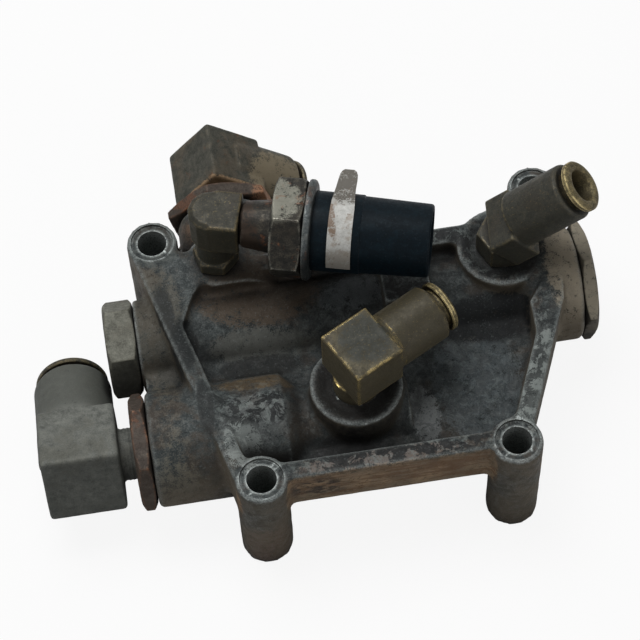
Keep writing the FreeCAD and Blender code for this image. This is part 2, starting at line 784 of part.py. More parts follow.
def angledElbow():
    rise = math.radians(angledRise)
    turn = math.radians(angledTurn)
    arm = point(math.cos(rise) * math.cos(turn), math.cos(rise) * math.sin(turn), math.sin(rise))
    flat = point(math.cos(rise), 0, math.sin(rise))
    centre = point(0, 0, angledHeight)
    block = Part.makeBox(angledBlockAbove + angledBlockBelow, angledBlockWidth,
                         angledBlockBack + angledBlockFront,
                         point(-angledBlockAbove, -angledBlockWidth / 2, -angledBlockBack))
    lean = FreeCAD.Rotation(back, quarterTurn - angledRise)
    block.Placement = FreeCAD.Placement(centre, lean).multiply(block.Placement)
    neck = hexBar(angledNeckFlats, spotPlane, angledHeight - angledBlockAbove / 2, 0, bodyEdge)
    thread = rod(portThreadRadius, spotPlane - portThreadLength + bodyEdge, spotPlane, point(0, 0, 0), up)
    body = block.fuse(neck).fuse(thread)
    body = body.fuse(placed(armSolid(smallBodyRadius, angledArm, angledBlockFront), centre, flat))
    body = body.cut(placed(tubeEndCut(smallTubeRadius, angledArm, 0), centre, flat))
    airway = tubeEnd(smallTubeRadius)["airway"]
    body = body.cut(rod(airway, spotPlane - portThreadLength * 2, angledHeight, point(0, 0, 0), up))
    body.Placement = FreeCAD.Placement(angledPort, FreeCAD.Rotation(up, angledTurn))
    save("angled_elbow", body)
    fittingInserts("angled", smallTubeRadius, smallBodyRadius, angledArm, angledPort + centre, arm)


def switchAxis():
    turn = math.radians(switchTurn)
    return point(math.cos(turn), math.sin(turn), 0)


def switchElbow():
    top = switchHeight + switchBlockHeight / 2
    bottom = top - switchBlockHeight
    half = switchBlock / 2
    body = rod(half, bottom, top, point(0, 0, 0), up)
    body = body.fuse(Part.makeBox(switchBlockReach, switchBlock, switchBlockHeight, point(0, -half, bottom)))
    body = body.fuse(rod(switchNeckRadius, bodyHeight, bottom, point(0, 0, 0), up))
    body = body.fuse(hexBar(switchHexFlats, bodyHeight, bodyHeight + switchHexHeight, 0, bodyEdge))
    body = body.fuse(rod(switchThreadRadius, bodyHeight - portThreadLength + bodyEdge, bodyHeight,
                         point(0, 0, 0), up))
    body = body.cut(rod(nippleThreadRadius, switchBlockReach - nippleThreadLength, switchBlockReach + half,
                        point(0, 0, switchHeight), right))
    airway = nippleThreadRadius / 2
    body = body.cut(rod(airway, 0, switchBlockReach, point(0, 0, switchHeight), right))
    body = body.cut(rod(airway, bodyHeight - portThreadLength * 2, switchHeight, point(0, 0, 0), up))
    body.Placement = FreeCAD.Placement(switchPort, FreeCAD.Rotation(up, switchTurn))
    save("switch_elbow", body)


# stations along the switch's axis
hexEnd = switchHexX + switchHexLength
socketFloor = hexEnd - switchSocketDepth
flangeStart = socketFloor + diaphragmThickness
flangeEnd = flangeStart + housingFlangeLength
contactRoomEnd = flangeStart + contactRoomLength
contactX = flangeStart + plungerThickness
bladeFoot = contactX + contactThickness + plungerTravel + contactGap


def pressureSwitch():
    origin = switchPort + up * switchHeight
    axis = switchAxis()
    base = placed(hexBar(switchFlats, switchHexX, hexEnd, switchHexTurn, hexChamfer), origin, axis)
    base = base.fuse(rod(nippleRadius, switchBlockReach, switchHexX, origin, axis))
    base = base.fuse(rod(nippleThreadRadius, switchBlockReach - nippleThreadLength + bodyEdge, switchBlockReach,
                         origin, axis))
    hollow = turned([(0, 0), (0, nippleThreadRadius / 2), (socketFloor - chamberDepth, nippleThreadRadius / 2),
                     (socketFloor - chamberDepth, chamberRadius), (socketFloor, chamberRadius),
                     (socketFloor, switchSocketRadius), (hexEnd + hexChamfer, switchSocketRadius),
                     (hexEnd + hexChamfer, 0)], origin, axis)
    save("switch_base", base.cut(hollow))
    save("switch_diaphragm", rod(switchSocketRadius, socketFloor, flangeStart, origin, axis))
    collarEnd = hexEnd + collarLength
    flangeRadius = switchSocketRadius - housingFit
    profile = [(hexEnd, switchSocketRadius), (hexEnd, collarRadius), (collarEnd - bodyEdge, collarRadius),
               (collarEnd, collarRadius - bodyEdge), (collarEnd, barrelStartRadius),
               (flangeEnd, barrelStartRadius),
               (flangeEnd, switchSocketRadius)]
    save("switch_collar", turned(profile, origin, axis))
    switchHousing(origin, axis, flangeRadius)
    switchContacts(origin, axis)
    switchLabel(origin, axis)


def barrelRadius(x):
    share = (x - flangeEnd) / (barrelEnd - flangeEnd)
    return barrelStartRadius + (barrelEndRadius - barrelStartRadius) * share


def switchHousing(origin, axis, flangeRadius):
    socketStart = contactRoomEnd + webThickness
    profile = [(flangeStart, contactRoomRadius), (flangeStart, flangeRadius), (flangeEnd, flangeRadius),
               (flangeEnd, barrelStartRadius), (barrelStepX, barrelRadius(barrelStepX) + barrelStep),
               (barrelStepX, barrelRadius(barrelStepX)), (barrelEnd, barrelEndRadius),
               (barrelEnd, socketRadius), (socketStart, socketRadius), (socketStart, 0), (contactRoomEnd, 0),
               (contactRoomEnd, contactRoomRadius)]
    shape = turned(profile, origin, axis)
    for blade in bladeBars(contactRoomEnd - webThickness, socketStart + webThickness):
        shape = shape.cut(placed(blade, origin, axis))
    save("switch_housing", shape)


def bladeBars(start, end):
    bars = []
    for side in (-1, 1):
        bars.append(Part.makeBox(bladeThickness, bladeWidth, end - start,
                                 point(side * bladeSpread - bladeThickness / 2, -bladeWidth / 2, start)))
    return bars


def switchContacts(origin, axis):
    plunger = turned([(flangeStart, 0), (flangeStart, plungerRadius), (contactX, plungerRadius), (contactX, 0)],
                     origin, axis)
    save("switch_plunger", plunger)
    save("contact_disc", rod(contactRadius, contactX, contactX + contactThickness, origin, axis))
    save("contact_spring", coil(springCoilRadius, springWire, contactX + contactThickness, contactRoomEnd,
                                springCoils, origin, axis))
    blades = [placed(bar, origin, axis) for bar in bladeBars(bladeFoot, bladeEnd)]
    save("switch_terminals", Part.makeCompound(blades))


def switchLabel(origin, axis):
    """Paper strip on the front of the barrel whose free tail runs straight back from the top."""
    inner = barrelRadius(labelX - labelWidth / 2) + barrelStep
    low = labelX - labelWidth / 2
    strip = Part.makeCylinder(inner + labelThickness, labelWidth, point(0, 0, low), up, labelAngle)
    strip = strip.cut(rod(inner, low - labelWidth, low + labelWidth * 2, point(0, 0, 0), up))
    tail = Part.makeBox(labelThickness, labelTail, labelWidth, point(inner, -labelTail, low))
    frame = FreeCAD.Matrix(0, axis.y, axis.x, origin.x, 0, -axis.x, axis.y, origin.y,
                           1, 0, 0, origin.z, 0, 0, 0, 1)
    label = strip.fuse(tail)
    label.Placement = FreeCAD.Placement(frame)
    save("label_strip", label)


bodyCasting()
rightCap()
controlPiston()
stemBush()
valveSeat()
poppet()
poppetGuide()
leftPlug()
supplySide()
serviceSide()
frontElbow()
angledElbow()
switchElbow()
pressureSwitch()
for name, shape in sorted(parts.items()):
    state = "valid" if shape.isValid() else "INVALID"
    print(name, len(shape.Solids), "solid(s)", state, round(shape.Volume, 1))
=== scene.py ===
import bpy
import math
from mathutils import Matrix, Vector


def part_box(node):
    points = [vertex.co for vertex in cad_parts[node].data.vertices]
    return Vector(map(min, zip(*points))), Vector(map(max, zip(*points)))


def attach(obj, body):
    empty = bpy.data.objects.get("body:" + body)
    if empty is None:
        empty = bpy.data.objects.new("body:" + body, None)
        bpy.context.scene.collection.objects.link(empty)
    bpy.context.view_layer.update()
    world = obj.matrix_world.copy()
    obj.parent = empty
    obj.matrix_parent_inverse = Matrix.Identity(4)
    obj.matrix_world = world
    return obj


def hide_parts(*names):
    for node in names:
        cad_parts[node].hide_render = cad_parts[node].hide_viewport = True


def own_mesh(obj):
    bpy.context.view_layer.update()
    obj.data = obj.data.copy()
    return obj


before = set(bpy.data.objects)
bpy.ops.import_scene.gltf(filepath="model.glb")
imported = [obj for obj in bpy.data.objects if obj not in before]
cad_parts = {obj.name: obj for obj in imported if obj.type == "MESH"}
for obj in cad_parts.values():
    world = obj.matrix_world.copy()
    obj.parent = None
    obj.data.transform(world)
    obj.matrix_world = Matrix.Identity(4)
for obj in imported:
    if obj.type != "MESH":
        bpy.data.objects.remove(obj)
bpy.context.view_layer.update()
print("frame loaded:", len(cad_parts), "nodes")

# Pieces are modelled in millimetres on the frame's own axes, and finishPiece brings them to metres.
millimetre = 0.001
tiny = 0.002  # the radius that stands for a point on a turning axis
up = Vector((0, 0, 1))
toRight = Vector((1, 0, 0))
toLeft = Vector((-1, 0, 0))
toBack = Vector((0, 1, 0))

# Camera, floor and lamps
view = {
    "place": (-51.307, -384.186, 649.218),
    "right": (0.98762514, -0.15463448, -0.02616798),
    "up": (0.14692236, 0.8538727, 0.49931477),
    "ahead": (0.05486716, 0.49698048, -0.8660254),
    "lens": 129.94,
    "sensor": 36.0,
    "nearest": 0.01,
}
lamps = {
    "roomLight": 0.17,        # how much the pale room lights the object
    "softbox": {"place": (-0.16, 0.24, 0.85), "size": 0.55, "power": 5.9},
    "leftFill": {"place": (-0.7, -0.75, 0.55), "size": 0.6, "power": 0.8},
    "rightFill": {"place": (0.7, -0.75, 0.5), "size": 0.6, "power": 1.5},
    "aim": (0, -0.045, 0.03),
}
floorLook = {"size": 6.0, "glow": 0.9, "colour": 0.86, "bounce": 0.28}


def addLamp(name, lamp):
    bpy.ops.object.light_add(type="AREA", location=lamp["place"])
    light = bpy.context.object
    light.name = name
    light.data.shape = "SQUARE"
    light.data.size = lamp["size"]
    light.data.energy = lamp["power"]
    light.rotation_mode = "QUATERNION"
    light.rotation_quaternion = (Vector(lamps["aim"]) - Vector(lamp["place"])).to_track_quat("-Z", "Y")


def addCamera():
    bpy.ops.object.camera_add()
    camera = bpy.context.object
    camera.name = "photoCamera"
    turn = Matrix((Vector(view["right"]), Vector(view["up"]), -Vector(view["ahead"]))).transposed().to_4x4()
    camera.matrix_world = Matrix.Translation(Vector(view["place"]) * millimetre) @ turn
    camera.data.lens = view["lens"]
    camera.data.sensor_width = view["sensor"]
    camera.data.clip_start = view["nearest"]
    bpy.context.scene.camera = camera
    bpy.context.scene.view_settings.view_transform = "Standard"


def addRoom():
    room = bpy.data.worlds.new("softRoom")
    bpy.context.scene.world = room
    room.use_nodes = True
    nodes, links = room.node_tree.nodes, room.node_tree.links
    nodes.clear()
    path = nodes.new("ShaderNodeLightPath")
    straight = nodes.new("ShaderNodeMath")
    straight.operation = "MAXIMUM"
    links.new(path.outputs["Is Camera Ray"], straight.inputs[0])
    links.new(path.outputs["Is Transmission Ray"], straight.inputs[1])
    seen = nodes.new("ShaderNodeMath")
    seen.operation = "MAXIMUM"
    links.new(straight.outputs[0], seen.inputs[0])
    links.new(path.outputs["Is Glossy Ray"], seen.inputs[1])
    strength = nodes.new("ShaderNodeMapRange")
    strength.inputs["To Min"].default_value = lamps["roomLight"]
    strength.inputs["To Max"].default_value = 1.0  # white where the room itself is seen
    links.new(seen.outputs[0], strength.inputs["Value"])
    background = nodes.new("ShaderNodeBackground")
    links.new(strength.outputs[0], background.inputs["Strength"])
    output = nodes.new("ShaderNodeOutputWorld")
    links.new(background.outputs[0], output.inputs["Surface"])


def addFloor():
    bpy.ops.mesh.primitive_grid_add(x_subdivisions=2, y_subdivisions=2, size=floorLook["size"])
    floor = bpy.context.object
    floor.name = "paleFloor"
    paper = bpy.data.materials.new("palePaper")
    paper.use_nodes = True
    nodes, links = paper.node_tree.nodes, paper.node_tree.links
    nodes.clear()
    path = nodes.new("ShaderNodeLightPath")
    bounce = nodes.new("ShaderNodeMapRange")
    bounce.inputs["To Min"].default_value = floorLook["colour"]
    bounce.inputs["To Max"].default_value = floorLook["bounce"]
    links.new(path.outputs["Is Diffuse Ray"], bounce.inputs["Value"])
    matte = nodes.new("ShaderNodeBsdfDiffuse")
    links.new(bounce.outputs[0], matte.inputs["Color"])
    glow = nodes.new("ShaderNodeEmission")
    share = nodes.new("ShaderNodeMath")
    share.operation = "MULTIPLY"
    share.inputs[1].default_value = floorLook["glow"]
    links.new(path.outputs["Is Camera Ray"], share.inputs[0])
    mixed = nodes.new("ShaderNodeMixShader")
    links.new(share.outputs[0], mixed.inputs[0])
    links.new(matte.outputs[0], mixed.inputs[1])
    links.new(glow.outputs[0], mixed.inputs[2])
    output = nodes.new("ShaderNodeOutputMaterial")
    links.new(mixed.outputs[0], output.inputs["Surface"])
    floor.data.materials.append(paper)


addCamera()
addRoom()
addLamp("overheadSoftbox", lamps["softbox"])
addLamp("leftFill", lamps["leftFill"])
addLamp("rightFill", lamps["rightFill"])
addFloor()
print("camera, lamps and floor placed")


# Modelling steps that several pieces share
def clearSelection():
    if bpy.context.object and bpy.context.object.mode != "OBJECT":
        bpy.ops.object.mode_set(mode="OBJECT")
    bpy.ops.object.select_all(action="DESELECT")


def pick(*pieces):
    clearSelection()
    for piece in pieces:
        piece.select_set(True)
    bpy.context.view_layer.objects.active = pieces[0]


def startEdit(piece):
    pick(piece)
    bpy.ops.object.mode_set(mode="EDIT")
    bpy.ops.mesh.select_all(action="SELECT")


def endEdit():
    bpy.ops.object.mode_set(mode="OBJECT")


def settle(piece):
    pick(piece)
    bpy.ops.object.transform_apply(location=True, rotation=True, scale=True)
    return piece


def newPrimitive(name):
    piece = bpy.context.object
    piece.name = name
    return settle(piece)


def useModifier(piece, kind, **settings):
    pick(piece)
    modifier = piece.modifiers.new(kind, kind)
    for key, value in settings.items():
        setattr(modifier, key, value)
    bpy.ops.object.modifier_apply(modifier=modifier.name)


def cleanMesh(piece):
    startEdit(piece)
    bpy.ops.mesh.remove_doubles(threshold=tiny * 2)
    bpy.ops.mesh.normals_make_consistent(inside=False)
    endEdit()


def turnedPiece(name, profile, segments=72):
    # rings of (distance, radius), stepped along +Z by extrude and resize as on a lathe
    clearSelection()
    start, radius = profile[0]
    bpy.ops.mesh.primitive_circle_add(vertices=segments, radius=max(radius, tiny), location=(0, 0, start))
    piece = newPrimitive(name)
    startEdit(piece)
    for (fromPlace, fromRadius), (toPlace, toRadius) in zip(profile, profile[1:]):
        bpy.ops.mesh.extrude_region_move(TRANSFORM_OT_translate={"value": (0, 0, toPlace - fromPlace)})
        grow = max(toRadius, tiny) / max(fromRadius, tiny)
        bpy.ops.transform.resize(value=(grow, grow, 1), center_override=(0, 0, toPlace))
    endEdit()
    cleanMesh(piece)
    return piece


def blockPiece(name, low, high):
    clearSelection()
    middle = [(a + b) / 2 for a, b in zip(low, high)]
    bpy.ops.mesh.primitive_cube_add(size=1, location=middle, scale=[b - a for a, b in zip(low, high)])
    return newPrimitive(name)


def prismPiece(name, corners, low, high):
    # one point drawn from corner to corner, filled, and pulled up
    clearSelection()
    bpy.ops.mesh.primitive_plane_add(size=1, location=(0, 0, low))
    piece = newPrimitive(name)
    startEdit(piece)
    bpy.ops.mesh.merge(type="CENTER")
    bpy.ops.transform.translate(value=(*corners[0], 0))
    for (fromX, fromY), (toX, toY) in zip(corners, corners[1:]):
        bpy.ops.mesh.extrude_region_move(TRANSFORM_OT_translate={"value": (toX - fromX, toY - fromY, 0)})
    bpy.ops.mesh.select_all(action="SELECT")
    bpy.ops.mesh.edge_face_add()
    bpy.ops.mesh.extrude_region_move(TRANSFORM_OT_translate={"value": (0, 0, high - low)})
    endEdit()
    cleanMesh(piece)
    return piece


def bevelEdges(piece, width, segments, chosen):
    # rounds the edges whose two ends pass the test
    pick(piece)
    mesh = piece.data
    for item in list(mesh.vertices) + list(mesh.edges) + list(mesh.polygons):
        item.select = False
    for edge in mesh.edges:
        first, second = (mesh.vertices[i].co for i in edge.vertices)
        edge.select = chosen(first, second)
    bpy.ops.object.mode_set(mode="EDIT")
    bpy.context.tool_settings.mesh_select_mode = (False, True, False)
    bpy.ops.mesh.bevel(offset=width, segments=segments, affect="EDGES")
    bpy.context.tool_settings.mesh_select_mode = (True, False, False)
    endEdit()


def allEdges(first, second):
    return True


def combine(piece, other, how):
    useModifier(piece, "BOOLEAN", operation=how, solver="EXACT", object=other)
    bpy.data.objects.remove(other)


def joinPieces(name, pieces):
    pick(*pieces)
    bpy.ops.object.join()
    piece = bpy.context.object
    piece.name = name
    return piece


def aimPiece(piece, origin, direction):
    # carries a piece modelled along +Z to its own axis
    piece.matrix_world = Matrix.Translation(origin) @ up.rotation_difference(direction).to_matrix().to_4x4()
    return settle(piece)


def framePiece(piece, origin, along, across, outward):
    piece.matrix_world = Matrix.Translation(origin) @ Matrix((along, across, outward)).transposed().to_4x4()
    return settle(piece)


hexCorner = 1 / math.cos(math.pi / 6)  # from half the flats to the corner radius


def hexPiece(name, flats, start, end, turn, chamfer):
    clearSelection()
    radius = flats / 2 * hexCorner
    bpy.ops.mesh.primitive_cylinder_add(vertices=6, radius=radius, depth=end - start,
                                        location=(0, 0, (start + end) / 2),
                                        rotation=(0, 0, math.radians(turn - 30)))
    piece = newPrimitive(name)
    edge = flats / 2 - 0.3  # the turned chamfer bites a little into the flats
    blank = turnedPiece("blank", [(start, 0), (start, edge), (start + chamfer, radius), (end - chamfer, radius),
                                  (end, edge), (end, 0)], 96)
    combine(piece, blank, "INTERSECT")
    return piece


def meltTogether(piece, voxel, rounds, dent=0.0, dentSize=4.0):
    # joined volumes become one skin with soft edges, dented a little inwards
    useModifier(piece, "REMESH", mode="VOXEL", voxel_size=voxel)
    if rounds:
        useModifier(piece, "SMOOTH", factor=0.5, iterations=rounds)
    if dent:
        clouds = bpy.data.textures.new(piece.name + "Dents", "CLOUDS")
        clouds.noise_scale = dentSize
        clouds.noise_depth = 3
        useModifier(piece, "DISPLACE", texture=clouds, strength=dent, mid_level=1.0, texture_coords="LOCAL")


def finishPiece(piece, body, nodes, finish, angle=40):
    pick(piece)
    piece.scale = (millimetre,) * 3
    settle(piece)
    bpy.ops.object.shade_smooth_by_angle(angle=math.radians(angle))
    piece.data.materials.clear()
    piece.data.materials.append(finish)
    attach(piece, body)
    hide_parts(*nodes)


# Finishes
def shade(red, green, blue):
    # a colour as the screen shows it, 0 to 255, made linear for the shader
    def linear(c):
        return c / 12.92 if c <= 0.04045 else ((c + 0.055) / 1.055) ** 2.4
    return (*(linear(c / 255) for c in (red, green, blue)), 1.0)


def newFinish(name):
    # a shader that the other nodes feed, and the surface point in millimetres for their patterns
    material = bpy.data.materials.new(name)
    material.use_nodes = True
    tree = material.node_tree
    tree.nodes.clear()
    output = tree.nodes.new("ShaderNodeOutputMaterial")
    shader = tree.nodes.new("ShaderNodeBsdfPrincipled")
    shader.name = "shader"
    tree.links.new(shader.outputs[0], output.inputs["Surface"])
    where = tree.nodes.new("ShaderNodeTexCoord")
    place = tree.nodes.new("ShaderNodeMapping")
    place.name = "place"
    place.inputs["Scale"].default_value = (1 / millimetre,) * 3
    tree.links.new(where.outputs["Object"], place.inputs["Vector"])
    return material, tree


def placeOf(tree):
    return tree.nodes["place"].outputs[0]


def feed(tree, value, socket):
    if isinstance(value, (int, float, tuple)):
        socket.default_value = value
    else:
        tree.links.new(value, socket)


def work(tree, how, first, second):
    node = tree.nodes.new("ShaderNodeMath")
    node.operation = how
    node.use_clamp = True
    feed(tree, first, node.inputs[0])
    feed(tree, second, node.inputs[1])
    return node.outputs[0]


def times(tree, first, second):
    return work(tree, "MULTIPLY", first, second)


def plus(tree, first, second):
    return work(tree, "ADD", first, second)


def less(tree, first, second):
    return work(tree, "SUBTRACT", first, second)


def mottle(tree, scale, detail=4.0, rough=0.6, warp=0.0, stretch=None):
    node = tree.nodes.new("ShaderNodeTexNoise")
    place = placeOf(tree)
    if stretch:
        squeezed = tree.nodes.new("ShaderNodeMapping")
        squeezed.inputs["Scale"].default_value = stretch
        tree.links.new(place, squeezed.inputs["Vector"])
        place = squeezed.outputs[0]
    tree.links.new(place, node.inputs["Vector"])
    node.inputs["Scale"].default_value = scale
    node.inputs["Detail"].default_value = detail
    node.inputs["Roughness"].default_value = rough
    node.inputs["Distortion"].default_value = warp
    return node.outputs["Fac"]


def fade(tree, value, low, high, toLow=0.0, toHigh=1.0):
    node = tree.nodes.new("ShaderNodeMapRange")
    node.interpolation_type = "SMOOTHSTEP"
    feed(tree, value, node.inputs["Value"])
    node.inputs["From Min"].default_value = low
    node.inputs["From Max"].default_value = high
    node.inputs["To Min"].default_value = toLow
    node.inputs["To Max"].default_value = toHigh
    return node.outputs[0]


def mixColour(tree, first, second, share):
    node = tree.nodes.new("ShaderNodeMix")
    node.data_type = "RGBA"
    feed(tree, share, node.inputs[0])
    feed(tree, first, node.inputs[6])
    feed(tree, second, node.inputs[7])
    return node.outputs[2]


def tones(tree, value, stops):
    node = tree.nodes.new("ShaderNodeValToRGB")
    tree.links.new(value, node.inputs[0])
    ramp = node.color_ramp
    ramp.elements[0].position, ramp.elements[0].color = stops[0]
    ramp.elements[1].position, ramp.elements[1].color = stops[-1]
    for position, colour in stops[1:-1]:
        ramp.elements.new(position).color = colour
    return node.outputs[0]


def facing(tree, axis):
    # how far the surface looks along an axis of the part
    geometry = tree.nodes.new("ShaderNodeNewGeometry")
    node = tree.nodes.new("ShaderNodeSeparateXYZ")
    tree.links.new(geometry.outputs["Normal"], node.inputs[0])
    return node.outputs[axis]


def nearPoint(tree, centre, radii, soft=0.4):
    # one about a point, fading out past an ellipsoid round it
    moved = tree.nodes.new("ShaderNodeVectorMath")
    moved.operation = "SUBTRACT"
    tree.links.new(placeOf(tree), moved.inputs[0])
    moved.inputs[1].default_value = centre
    scaled = tree.nodes.new("ShaderNodeVectorMath")
    scaled.operation = "DIVIDE"
    tree.links.new(moved.outputs[0], scaled.inputs[0])
    scaled.inputs[1].default_value = radii
    length = tree.nodes.new("ShaderNodeVectorMath")
    length.operation = "LENGTH"
    tree.links.new(scaled.outputs[0], length.inputs[0])
    return fade(tree, length.outputs["Value"], 1.0 - soft, 1.0 + soft, 1.0, 0.0)


def edges(tree, size):
    # one at an edge, where the rounded and the true normal part
    soft = tree.nodes.new("ShaderNodeBevel")
    soft.samples = 5
    soft.inputs["Radius"].default_value = size * millimetre
    geometry = tree.nodes.new("ShaderNodeNewGeometry")
    agree = tree.nodes.new("ShaderNodeVectorMath")
    agree.operation = "DOT_PRODUCT"
    tree.links.new(soft.outputs[0], agree.inputs[0])
    tree.links.new(geometry.outputs["Normal"], agree.inputs[1])
    return fade(tree, agree.outputs["Value"], 0.985, 0.89)


def ridges(tree, low=0.512, high=0.56):
    # one along the convex lines of a dense skin
    geometry = tree.nodes.new("ShaderNodeNewGeometry")
    return fade(tree, geometry.outputs["Pointiness"], low, high)


def hollows(tree, size, start=0.88, full=0.35):
    # one in corners and recesses, none on open faces
    node = tree.nodes.new("ShaderNodeAmbientOcclusion")
    node.samples = 6
    node.inputs["Distance"].default_value = size * millimetre
    return fade(tree, node.outputs["AO"], start, full)


def addPatches(tree, colour, patches, breakUp):
    # marks of one colour about a place, with ragged edges: stains, painted shade and painted highlights
    for centre, radii, tint, most in patches:
        inside = nearPoint(tree, centre, radii)
        ragged = fade(tree, times(tree, inside, breakUp), 0.3, 0.62, 0.0, most)
        colour = mixColour(tree, colour, tint, ragged)
    return colour


def weatheredFinish(name, look):
    # used metal: uneven tone, dirt, flaked skin, rust, stains with painted shade and highlights at given places, grime
    # with painted shade in hollows, a painted shadow in deep recesses, bare worn edges
    material, tree = newFinish(name)
    shader = tree.nodes["shader"]
    broad = mottle(tree, look.get("broad", 0.07), 5, 0.62, 0.4)
    middle = mottle(tree, look.get("middle", 0.4), 6, 0.68, 0.2)
    fine = mottle(tree, look.get("fine", 2.4), 3, 0.6)
    grain = plus(tree, times(tree, middle, 0.62), times(tree, fine, 0.38))
    colour = tones(tree, grain, [(0.34, look["dark"]), (0.5, look["base"]), (0.67, look["light"])])
    rough = fade(tree, grain, 0.35, 0.65, look["roughHigh"], look["roughLow"])

    blotch = plus(tree, times(tree, broad, 0.7), times(tree, middle, 0.3))
    dirt = fade(tree, blotch, look.get("dirtFrom", 0.5), look.get("dirtTo", 0.62), 0.0, look["dirtMost"])
    colour = mixColour(tree, colour, look["dirt"], dirt)

    breakUp = fade(tree, plus(tree, times(tree, middle, 0.6), times(tree, fine, 0.4)), 0.36, 0.6, 0.35, 1.0)
    colour = addPatches(tree, colour, look.get("patches", ()), breakUp)

    level = facing(tree, 2)
    # steep faces blend to the side colour: a tan tint on the casting, painted shade on the plug, supply elbow, hex and
    # collar, whose sides stay darker than their lit tops
    if "side" in look:
        steep = fade(tree, level, 0.15, 0.75, look["sideMost"], 0.0)
        colour = mixColour(tree, colour, look["side"], times(tree, steep, fade(tree, broad, 0.3, 0.6, 0.45, 1.0)))
    if "bottom" in look:
        under = fade(tree, level, -0.2, -0.7, 0.0, look["bottomMost"])
        colour = mixColour(tree, colour, look["bottom"], under)

    for centre, radii, tint, most, stretch in look.get("streaks", ()):
        lines = fade(tree, mottle(tree, 0.5, 6, 0.7, 0.3, stretch), 0.46, 0.58, 0.0, most)
        colour = mixColour(tree, colour, tint, times(tree, nearPoint(tree, centre, radii), lines))

    if look.get("flakes"):
        upward = times(tree, fade(tree, level, 0.4, 0.85), nearPoint(tree, *look["flakePlace"], 0.15))
        onRim = nearPoint(tree, *look["rimPlace"], 0.2)
        upward = times(tree, upward, fade(tree, onRim, 0.0, 1.0, look["flakesInside"], 1.0))
        crust = mottle(tree, look["crustScale"], 8, 0.75, 0.5)
        pale = times(tree, fade(tree, crust, 0.5, 0.56, 0.0, look["crustMost"]), upward)
        colour = mixColour(tree, colour, look["crust"], pale)
        skin = mottle(tree, look["flakeScale"], 8, 0.72, 0.6)
        start = look["flakeFrom"]
        flaked = times(tree, fade(tree, skin, start, start + 0.03, 0.0, look["flakes"]), upward)
        colour = mixColour(tree, colour, look["flake"], flaked)

    if look.get("rustMost"):
        rust = mottle(tree, look.get("rustScale", 0.16), 7, 0.66, 0.5)
        rustTone = tones(tree, fine, [(0.35, look["rustDark"]), (0.65, look["rustLight"])])
        start = look.get("rustFrom", 0.54)
        colour = mixColour(tree, colour, rustTone, fade(tree, rust, start, start + 0.07, 0.0, look["rustMost"]))

    # stains, with painted shade and painted highlights among them
    colour = addPatches(tree, colour, look.get("stainsAndPaintedLight", ()), breakUp)

    if look.get("specks"):
        speck = fade(tree, mottle(tree, look.get("speckScale", 3.0), 2, 0.5), 0.62, 0.7, 0.0, look["specks"])
        colour = mixColour(tree, colour, look["speck"], speck)

    # grime with painted shade: the hollows darken towards the grime colour
    grimeAndShade = times(tree, hollows(tree, look["hollowSize"]), look["grimeAndShadeMost"])
    colour = mixColour(tree, colour, look["grimeAndShade"], grimeAndShade)
    # painted shadow: wide recesses and the ground under overhanging parts darken too
    if look.get("shadowSize"):
        paintedShadow = times(tree, hollows(tree, look["shadowSize"], 0.8, 0.2), look["shadowMost"])
        colour = mixColour(tree, colour, look["grimeAndShade"], paintedShadow)

    metal = look["metal"]
    if look.get("wearMost"):
        edge = times(tree, edges(tree, look["wearSize"]), fade(tree, middle, 0.38, 0.56, 0.1, 1.0))
        edge = times(tree, times(tree, edge, less(tree, 1.0, hollows(tree, 1.5))), look["wearMost"])
        if look.get("ridges"):
            line = times(tree, ridges(tree), fade(tree, fine, 0.35, 0.6, 0.25, look["ridges"]))
            edge = work(tree, "MAXIMUM", edge, line)
        colour = mixColour(tree, colour, look["bare"], edge)
        metal = fade(tree, edge, 0.2, 0.9, look["metal"], 0.6)
        rough = less(tree, rough, times(tree, edge, 0.22))

    feed(tree, colour, shader.inputs["Base Color"])
    feed(tree, metal, shader.inputs["Metallic"])
    feed(tree, rough, shader.inputs["Roughness"])
    shader.inputs["Specular IOR Level"].default_value = look["gloss"]
    height = plus(tree, times(tree, middle, 0.6), times(tree, fine, 0.4))
    if look.get("flakes"):
        height = less(tree, height, times(tree, flaked, 0.3))
    bump = tree.nodes.new("ShaderNodeBump")
    bump.inputs["Strength"].default_value = look["bump"]
    bump.inputs["Distance"].default_value = look["bumpDepth"] * millimetre
    feed(tree, height, bump.inputs["Height"])
    feed(tree, bump.outputs[0], shader.inputs["Normal"])
    return material


def plainFinish(name, dark, light, metal, rough, scale, bumpDepth=0.04, dust=None):
    # clean inner pieces: two close tones, a fine grain and, if asked, dust in the hollows
    material, tree = newFinish(name)
    shader = tree.nodes["shader"]
    grain = mottle(tree, scale, 4, 0.6)
    colour = tones(tree, grain, [(0.35, dark), (0.65, light)])
    if dust:
        colour = mixColour(tree, colour, dust, times(tree, hollows(tree, 2.0), 0.6))
    feed(tree, colour, shader.inputs["Base Color"])
    shader.inputs["Metallic"].default_value = metal
    feed(tree, fade(tree, grain, 0.3, 0.7, rough + 0.08, rough - 0.06), shader.inputs["Roughness"])
    bump = tree.nodes.new("ShaderNodeBump")
    bump.inputs["Strength"].default_value = 0.4
    bump.inputs["Distance"].default_value = bumpDepth * millimetre
    feed(tree, grain, bump.inputs["Height"])
    feed(tree, bump.outputs[0], shader.inputs["Normal"])
    return material


# the black of grime and painted shade in hollows
grimeAndShadeBlack = shade(20, 19, 18)
rustRed = shade(76, 46, 33)
rustOrange = shade(132, 84, 52)

